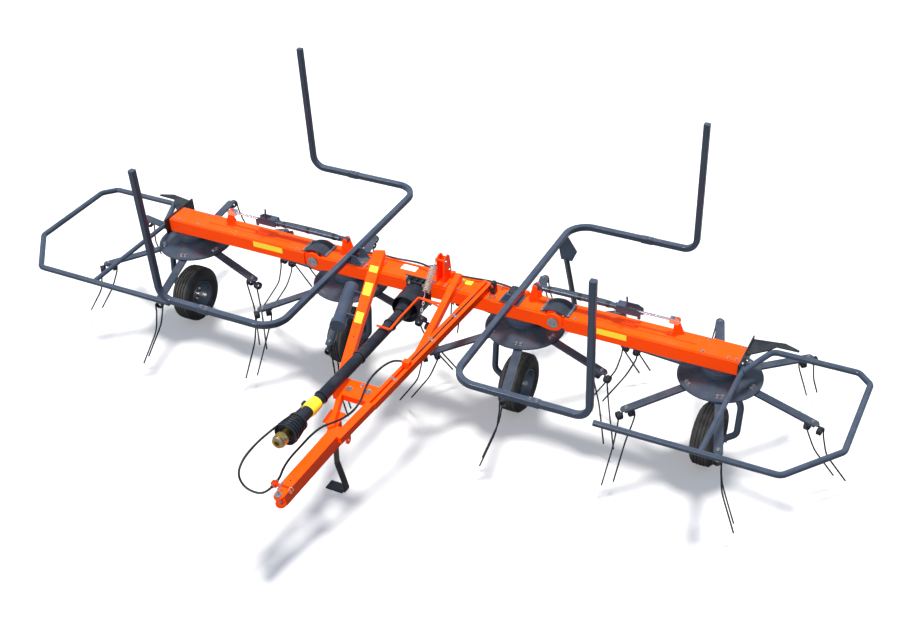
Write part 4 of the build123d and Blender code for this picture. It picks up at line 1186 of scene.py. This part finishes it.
# ---------------------------------------------------------------- the drive line
@dataclass
class DriveLine:
    """Collars, bands and bolts of the power shaft and its gearbox."""

    bench: Bench
    fasteners: Fasteners
    front: float = -0.107
    housing_front: float = -0.129
    crown: float = 0.0012
    shield_bore: float = 0.0955

    def _ring(self, inner: float, outer: float, depth: float, share: float) -> bpy.types.Object:
        """A band round the shaft, its middle at a share of the shaft's length."""
        half = depth / 2
        flat = half * 0.6
        crown = outer + self.crown
        band = self.bench.lathe([(inner, -half), (outer, -half), (crown, -flat), (crown, flat), (outer, half),
                                 (inner, half), (inner, -half)], 36)
        return self.bench.copies(band, [PowerShaft.stand(share)])[0]

    def build(self) -> None:
        """Makes the details of the drive line."""
        band = self._ring(0.0375, 0.0437, 0.092, 0.800)
        self.bench.finish(band, "shaft_marker_band", "chassis", "warning_yellow", "black_plastic")
        rings = [self._ring(0.050, radius, 0.005, share)
                 for radius, share in ((0.064, 0.925), (0.068, 0.940), (0.0715, 0.955), (0.0735, 0.970))]
        rings += [self._ring(0.037, 0.0435, 0.010, share) for share in (0.200, 0.450, 0.735)]
        self.bench.finish(rings, "shaft_cone_ribs", "chassis", "guard_tube_black", "black_plastic")
        collar = self._ring(0.0290, 0.0335, 0.016, 1.034)
        self.bench.finish(collar, "yoke_collar", "power_yoke", "zinc_plate", "brass_steel")
        pin = 0.0085
        lock = self.bench.lathe([(0.0, 0.0), (pin, 0.0), (pin, 0.010), (0.006, 0.013), (0.0, 0.013)], 20)
        outward = Matrix.Translation((0.041, 0, 0)) @ Matrix.Rotation(math.radians(90), 4, "Y")
        place = PowerShaft.stand(1.015, 0.7) @ outward
        self.bench.spread(lock, [place], "yoke_lock", "power_yoke", "zinc_plate", "brass_steel")

        head = self.fasteners.bolt(0.8)
        places = [aimed(spot(x, self.front, z), (0, -1, 0))
                  for x in (-0.147, 0.007) for z in (0.645, 0.730, 0.815)]
        places += [aimed(spot(x, self.housing_front, z), (0, -1, 0))
                   for x in (-0.122, -0.018) for z in (0.657, 0.790)]
        self.bench.spread(head, places, "gearbox_bolts", "chassis", "zinc_plate", "zinc_steel")
        rings = []
        for radius, y in ((0.0995, -0.150), (0.0995, -0.215), (0.0990, -0.282)):
            hoop = self.bench.tube(self.shield_bore, radius, 0.003, 40)
            rings += self.bench.copies(hoop, [aimed(spot(-0.070, y, 0.696), (0, -1, 0))])
        self.bench.finish(rings, "shield_hoops", "chassis", "guard_tube_black", "black_plastic")


# ---------------------------------------------------------------- the drawbar
@dataclass
class DrawbarTrim:
    """Blank labels, pipes, clips, black discs of painted shade for holes, and bolts of the drawbar and the
    centre beam.
    """

    bench: Bench
    fasteners: Fasteners
    lid: float = 0.784
    skin: float = 0.0012

    def _labels(self) -> None:
        """Plain marker patches where the machine carries decals, all left blank."""
        top = DrawPlane.top
        marks = []
        for y0, y1 in ((-0.100, -0.155), (-0.255, -0.365), (-0.515, -0.605)):
            outline = []
            for y, edge in ((y0, -1), (y0, 1), (y1, 1), (y1, -1)):
                share = (y - 0.052) / (-1.178 - 0.052)
                x = -0.440 + share * 0.379
                half = (0.078 - 0.026 * share) / 2 - 0.007
                outline.append(tuple(DrawPlane.place(x + edge * half, y, top - 0.0003)))
            marks.append(self.bench.plate(outline, (0, 0, self.skin), 0.0))
        low, high = spot(0.170, 0.012, self.lid - 0.0003), spot(0.260, 0.058, self.lid + self.skin)
        marks.append(self.bench.block(tuple(low), tuple(high), 0.0004, 1))
        self.bench.finish(marks, "drawbar_markers", "chassis", "warning_yellow", "orange_paint")
        low, high = spot(-0.262, 0.006, self.lid - 0.0003), spot(-0.152, 0.062, self.lid + self.skin)
        plate = self.bench.block(tuple(low), tuple(high), 0.0004, 1)
        self.bench.finish(plate, "blank_plate", "chassis", "label_white", "orange_paint")

    def _pipes(self) -> None:
        """The two pipes that lie in the right leg's groove, with the clamps that hold them."""
        start, foot = Vector((0.389, 0.012, 0)), Vector((0.118, -1.474, 0))
        way = (foot - start).normalized()
        across = Vector((-way.y, way.x, 0))
        pipes = []
        for offset in (-0.0030, 0.0030):
            points = []
            for reach in (0.14, 0.30, 0.46, 0.62, 0.78, 0.835):
                place = start + way * reach + across * (offset + 0.0006 * math.sin(reach * 14))
                points.append(DrawPlane.place(place.x, place.y, 0.021))
            pipes.append(self.bench.wire(points, 0.0028, 2, 3))
        self.bench.finish(pipes, "groove_pipes", "chassis", "hose_rubber", "hose_rubber")
        clamps = []
        for reach in (0.36, 0.60, 0.98):
            place = start + way * reach
            block = self.bench.block((-0.027, -0.008, -0.0006), (0.027, 0.008, 0.0022), 0.0008, 1)
            spin = math.atan2(across.y, across.x)
            clamps += self.bench.copies(block, [DrawPlane.stand(place.x, place.y, DrawPlane.top, spin)])
        self.bench.finish(clamps, "pipe_clamps", "chassis", "zinc_plate", "zinc_steel")

    def _bolts(self) -> None:
        """Bolts on the leg feet and the cross plate, its two discs, and black discs of painted shade where
        the drawbar has drilled holes.
        """
        head = self.fasteners.bolt(0.9)
        places = []
        for x, reach in ((0.389, 0.046), (-0.434, 0.042), (0.176, 0.028)):
            places += [aimed(spot(x + end * reach, y, DECK), (0, 0, 1))
                       for end in (-1, 1) for y in (-0.070, 0.016)]
        places += [DrawPlane.stand(x, y, DrawPlane.top)
                   for x, y in ((-0.003, -1.118), (0.119, -1.100), (0.060, -1.070))]
        self.bench.spread(head, places, "drawbar_bolts", "chassis", "zinc_plate", "zinc_steel")
        rim, under = 0.020, -0.0005
        disc = self.bench.lathe([(0.0, under), (rim, under), (rim, 0.002), (0.014, 0.003), (0.012, 0.0015),
                                 (0.0, 0.0015)], 32)
        places = [DrawPlane.stand(-0.003, -1.118, 0.0275), DrawPlane.stand(0.119, -1.100, 0.0272)]
        self.bench.spread(disc, places, "cross_plate_discs", "chassis", "zinc_plate", "zinc_steel")
        # Black discs of painted shade stand in for the drawbar's drilled holes; no hole is cut.
        shade_disc = self.bench.lathe([(0.0, under), (0.0060, under), (0.0060, 0.0008), (0.0, 0.0008)], 20)
        hole_shade_places = [DrawPlane.stand(x, y, DrawPlane.top)
                for x, y in ((-0.223, -0.640), (-0.199, -0.720), (0.029, -1.849))]
        self.bench.spread(shade_disc, hole_shade_places, "drawbar_holes", "chassis", "black_enamel", "orange_paint")

    def _hitch(self) -> None:
        """The hitch pin's ring clip and the hose clip beside it."""
        ring = []
        for step in range(12):
            turn = math.tau * step / 12
            ring.append(spot(0.062 + 0.016 * math.cos(turn), -1.905 + 0.010 * math.sin(turn),
                             0.531 + 0.014 * math.sin(turn)))
        clip = self.bench.wire([spot(0.045, -1.930, 0.5225), *ring, spot(0.046, -1.905, 0.531)], 0.0016, 2, 3)
        band = self.bench.tube(0.0075, 0.0105, 0.006, 20)
        bands = self.bench.copies(band, [aimed(spot(-0.068, y, 0.510), (0, 1, 0)) for y in (-1.904, -1.857)])
        self.bench.finish([clip, *bands], "hitch_clips", "chassis", "zinc_plate", "zinc_steel")

    def build(self) -> None:
        """Makes the trim of the drawbar."""
        self._labels()
        self._pipes()
        self._bolts()
        self._hitch()


# ---------------------------------------------------------------- smaller fittings
@dataclass
class Fittings:
    """Sleeves, clips, bands and bolts of the guards, the mounts, the stand and the cylinders."""

    bench: Bench
    fasteners: Fasteners
    sleeve_x: float = 1.190
    sleeve: float = 0.045
    tube_z: float = 0.830
    barrel_y: float = 0.060
    barrel_z: float = 0.866

    def _mounts(self) -> None:
        """Bolts on the guard mounts, and the clip block with its round reflector on the right one."""
        head = self.fasteners.bolt(0.8)
        screws = ((0.461, -0.052), (0.522, 0.020), (0.465, 0.060), (-0.520, -0.050), (-0.560, 0.040))
        places = [aimed(spot(x, y, DECK), (0, 0, 1)) for x, y in screws]
        self.bench.spread(head, places, "mount_screws", "chassis", "zinc_plate", "zinc_steel")

        def taper() -> None:
            """Draws the block's top in."""
            self.bench.pick(faces=lambda f: f.normal.z > 0.9)
            bpy.ops.transform.resize(value=(0.7, 0.62, 1))

        low, high = spot(0.418, -0.036, 0.783), spot(0.452, 0.022, 0.872)
        clip = self.bench.block(tuple(low), tuple(high), 0.003, 2, taper)
        self.bench.finish(clip, "clip_block", "chassis", "black_enamel", "black_paint")
        rim = 0.010
        eye = self.bench.lathe([(0.0, -0.002), (rim, -0.002), (rim, 0.003), (0.006, 0.005), (0.0, 0.005)], 24)
        self.bench.spread(eye, [aimed(spot(0.435, -0.027, 0.846), (0, -1, 0.25))], "clip_eye", "chassis",
                          "red_reflector", "black_paint")

    def _sleeves(self) -> None:
        """The sleeves that the guards' bent ends slide into, their bolts, and the post's flat bar."""
        head = self.fasteners.bolt(0.75)
        half = self.sleeve / 2
        for side in Side:
            sleeves, places = [], []
            for y, rear in ((-0.970, half), (0.910, 0.0198)):
                x0, x1 = sorted((side.value * self.sleeve_x, side.value * (self.sleeve_x - 0.085)))
                low, high = spot(x0, y - half, self.tube_z - half), spot(x1, y + rear, self.tube_z + half)
                sleeves.append(self.bench.block(tuple(low), tuple(high), 0.006, 3))
                places += [aimed(spot(side.value * (self.sleeve_x - reach), y, self.tube_z + half), (0, 0, 1))
                           for reach in (0.022, 0.062)]
            self.bench.finish(sleeves, f"guard_sleeves_{side.tag}", "chassis", "slate_enamel", "grey_paint")
            self.bench.spread(head, places, f"sleeve_bolts_{side.tag}", "chassis", "zinc_plate", "zinc_steel",
                              keep=True)
        bpy.data.objects.remove(head)
        top, foot = spot(0.617, 0.764, 0.640), spot(0.640, 0.905, 0.102)
        bar = self.bench.block((-0.022, -0.007, 0.0), (0.022, 0.007, (foot - top).length), 0.002)
        self.bench.spread(bar, [aimed(top, foot - top)], "post_bar", "chassis", "black_enamel", "black_paint")

    def _cylinders(self) -> None:
        """Clamp bands on the cylinders' barrels, and the short pipe that lies along each."""
        for side in Side:
            body = f"barrel_{side.tag}"
            sign = side.value
            bands = []
            for x in (0.800, 1.008, 1.200):
                band = self.bench.tube(0.0195, 0.0225, 0.011)
                place = spot(sign * x, self.barrel_y, self.barrel_z)
                bands += self.bench.copies(band, [aimed(place, (sign, 0, 0))])
            pipe = [(0.775, 0.086, 0.866), (0.800, 0.088, 0.872), (1.000, 0.088, 0.874),
                    (1.190, 0.088, 0.872), (1.226, 0.084, 0.868), (1.246, 0.072, 0.866)]
            bands.append(self.bench.wire([spot(sign * x, y, z) for x, y, z in pipe], 0.0042, 2, 4))
            self.bench.finish(bands, f"barrel_bands_{side.tag}", body, "black_enamel", "black_paint")

    def _stand(self) -> None:
        """The bolt that the stand turns on."""
        head = self.fasteners.bolt(1.1)
        places = [aimed(spot(x, -1.312, 0.505), (way, 0, 0)) for x, way in ((-0.056, -1), (0.032, 1))]
        self.bench.spread(head, places, "stand_pivot_bolt", "chassis", "zinc_plate", "zinc_steel")

    def build(self) -> None:
        """Makes the small fittings."""
        self._mounts()
        self._sleeves()
        self._cylinders()
        self._stand()


# ---------------------------------------------------------------- the CAD nodes' own finishes
NODE_FINISHES = {
    "orange_enamel": ("centre_beam", "drawbar_right_leg", "drawbar_left_leg", "drawbar_middle_leg",
                      "drawbar_cross_plate", "drawbar_tongue", "hitch_clevis", "spring_tower",
                      "stand_bracket", "wing_beam_left", "wing_beam_right"),
    "zinc_plate": ("hinge_pins", "hitch_pin"),
    "slate_enamel": ("centre_gearboxes", "centre_wheel_legs", "centre_guard_left", "centre_guard_right",
                     "guard_mounts", "paper_canister", "wing_gearbox_left", "wing_gearbox_right",
                     "wing_wheel_leg_left", "wing_wheel_leg_right", "wing_guard_left", "wing_guard_right",
                     "cylinder_barrel_left", "cylinder_barrel_right", "rim_outer_left", "rim_inner_left",
                     "rim_inner_right", "rim_outer_right"),
    "rotor_enamel": ("rotor_outer_left", "rotor_inner_left", "rotor_inner_right", "rotor_outer_right"),
    "black_enamel": ("parking_stand", "drive_gearbox", "wing_bracket_left", "wing_bracket_right"),
    "guard_tube_black": ("power_shaft_guard", "drive_shield"),
    "yellow_passivate": ("power_shaft_yoke",),
    "chrome_plate": ("cylinder_rod_left", "cylinder_rod_right"),
    "coated_wire": ("tines_outer_left", "tines_inner_left", "tines_inner_right", "tines_outer_right"),
    "tread_rubber": ("tyre_outer_left", "tyre_inner_left", "tyre_inner_right", "tyre_outer_right"),
    "sheet_rubber": ("hinge_flap_left", "hinge_flap_right"),
}


def dress_nodes(frame: dict, palette: Palette) -> None:
    """Gives every CAD node its finish.

    Args:
        palette: the finishes.
    """
    for finish, names in NODE_FINISHES.items():
        for name in names:
            node = frame["nodes"][name]
            if not node.material_slots:
                node.data.materials.append(palette[finish])
            for holder in node.material_slots:
                holder.link = "OBJECT"
                holder.material = palette[finish]


# ---------------------------------------------------------------- the studio
@dataclass
class Studio:
    """Camera, sun, sky and a white floor."""

    place: Triple = (3.443, -5.513, 5.433)
    azimuth: float = 27.37
    elevation: float = 38.55
    roll: float = -2.28
    lens: float = 50.52
    shift: tuple[float, float] = (-0.0348, 0.0795)
    floor_size: float = 80.0
    floor_white: float = 0.05
    key_from: Triple = (0.06, 0.42, 1.0)
    key_power: float = 7.2
    key_width: float = 12.0
    fill_from: Triple = (-0.55, -1.0, 0.75)
    fill_power: float = 3.0
    sky_power: float = 0.62

    def camera(self) -> None:
        """Sets up the camera at the viewing angle."""
        a, e, r = (math.radians(v) for v in (self.azimuth, self.elevation, self.roll))
        back = Vector((math.sin(a) * math.cos(e), -math.cos(a) * math.cos(e), math.sin(e)))
        right = Vector((math.cos(a), math.sin(a), 0))
        up = back.cross(right)
        across = right * math.cos(r) + up * math.sin(r)
        above = up * math.cos(r) - right * math.sin(r)
        data = bpy.data.cameras.new("camera")
        data.lens = self.lens
        data.sensor_width = 36.0
        data.shift_x, data.shift_y = self.shift
        data.clip_end = 500
        camera = bpy.data.objects.new("camera", data)
        bpy.context.scene.collection.objects.link(camera)
        turn = Matrix((across, above, back)).transposed().to_4x4()
        camera.matrix_world = Matrix.Translation(self.place) @ turn
        bpy.context.scene.camera = camera

    def _sun(self, name: str, source: Triple, power: float, width: float, shadow: bool) -> None:
        """Adds a sun.

        Args:
            name: its name.
            source: the way towards it.
            power: its strength.
            width: its width in degrees, which softens its shadows.
            shadow: whether it casts shadows.
        """
        data = bpy.data.lights.new(name, "SUN")
        data.energy = power
        data.angle = math.radians(width)
        data.color = (1.0, 0.97, 0.93)
        data.use_shadow = shadow
        lamp = bpy.data.objects.new(name, data)
        toward = Vector(source).normalized()
        lamp.rotation_euler = toward.to_track_quat("Z", "Y").to_euler()
        lamp.location = toward * 9
        lamp.visible_glossy = not shadow
        bpy.context.scene.collection.objects.link(lamp)

    def _sky(self, tree):
        """The sky that lights the machine: blue overhead, pale at the horizon, dull below it.

        Args:
            tree: the world's node tree.

        Returns:
            The background's socket.
        """
        way = tree.nodes.new("ShaderNodeTexCoord")
        parts = tree.nodes.new("ShaderNodeSeparateXYZ")
        ramp = tree.nodes.new("ShaderNodeValToRGB")
        level = tree.nodes.new("ShaderNodeMapRange")
        level.inputs["From Min"].default_value = -1.0
        tree.links.new(way.outputs["Generated"], parts.inputs["Vector"])
        tree.links.new(parts.outputs["Z"], level.inputs["Value"])
        tree.links.new(level.outputs["Result"], ramp.inputs["Fac"])
        bands = ((0.0, (0.10, 0.10, 0.11, 1)), (0.485, (0.12, 0.12, 0.13, 1)), (0.56, (0.40, 0.50, 0.66, 1)),
                 (0.78, (0.55, 0.72, 1.0, 1)), (1.0, (0.50, 0.66, 1.0, 1)))
        for share, colour in bands[1:-1]:
            ramp.color_ramp.elements.new(share).color = colour
        ramp.color_ramp.elements[0].color = bands[0][1]
        ramp.color_ramp.elements[-1].color = bands[-1][1]
        dull = tree.nodes["Background"]
        dull.inputs["Strength"].default_value = self.sky_power
        tree.links.new(ramp.outputs["Color"], dull.inputs["Color"])
        return dull.outputs[0]

    @staticmethod
    def _seen_apart(tree, lit, seen):
        """Joins two shaders: one that lights and reflects, one for the camera's own view.

        Args:
            tree: the node tree.
            lit: the shader that other surfaces see.
            seen: the shader that the camera sees.

        Returns:
            The joined shader's socket.
        """
        path = tree.nodes.new("ShaderNodeLightPath")
        mixed = tree.nodes.new("ShaderNodeMixShader")
        tree.links.new(path.outputs["Is Camera Ray"], mixed.inputs[0])
        tree.links.new(lit, mixed.inputs[1])
        tree.links.new(seen, mixed.inputs[2])
        return mixed.outputs[0]

    @staticmethod
    def _white(tree):
        """A plain white glow."""
        white = tree.nodes.new("ShaderNodeEmission")
        white.inputs["Color"].default_value = (1, 1, 1, 1)
        white.inputs["Strength"].default_value = 1.0
        return white.outputs[0]

    def _floor_paint(self) -> bpy.types.Material:
        """White to the camera, dull to the machine that stands on it."""
        paint = bpy.data.materials.new("floor_paint")
        paint.use_nodes = True
        tree = paint.node_tree
        dull = tree.nodes["Principled BSDF"]
        dull.inputs["Base Color"].default_value = (0.16, 0.16, 0.16, 1)
        dull.inputs["Roughness"].default_value = 0.9
        dull.inputs["Specular IOR Level"].default_value = 0.1
        bright = tree.nodes.new("ShaderNodeBsdfDiffuse")
        bright.inputs["Color"].default_value = (0.50, 0.50, 0.50, 1)
        faded = tree.nodes.new("ShaderNodeMixShader")
        faded.inputs[0].default_value = self.floor_white
        tree.links.new(bright.outputs[0], faded.inputs[1])
        tree.links.new(self._white(tree), faded.inputs[2])
        seen = self._seen_apart(tree, dull.outputs[0], faded.outputs[0])
        tree.links.new(seen, tree.nodes["Material Output"].inputs["Surface"])
        return paint

    def set_up(self) -> None:
        """Builds the floor, the suns and the world."""
        scene = bpy.context.scene
        scene.view_settings.view_transform = "Standard"
        Bench.clear()
        bpy.ops.mesh.primitive_plane_add(size=self.floor_size, location=(0, 0, 0))
        floor = bpy.context.object
        floor.name = "floor"
        floor.data.materials.append(self._floor_paint())
        world = bpy.data.worlds.new("studio")
        scene.world = world
        world.use_nodes = True
        tree = world.node_tree
        seen = self._seen_apart(tree, self._sky(tree), self._white(tree))
        tree.links.new(seen, tree.nodes["World Output"].inputs["Surface"])
        self._sun("key_sun", self.key_from, self.key_power, self.key_width, True)
        self._sun("fill_sun", self.fill_from, self.fill_power, self.key_width, False)


def main() -> None:
    """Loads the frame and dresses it."""
    logging.basicConfig(level=logging.INFO, format="%(message)s")
    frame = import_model()
    studio = Studio()
    studio.camera()
    palette = Palette()
    dress_nodes(frame, palette)
    bench = Bench(palette)
    fasteners = Fasteners(bench)
    assemblies = [Hoses(bench)]
    assemblies += [kind(bench, fasteners) for kind in (Wheels, Rotors, BeamTrim, HingeFlaps, FloatSpring,
                                                       DriveLine, DrawbarTrim, Fittings)]
    for assembly in assemblies:
        assembly.build()
        LOG.info("%s done, %d pieces so far", type(assembly).__name__, bench.count)
    studio.set_up()


if __name__ == "__main__":
    main()
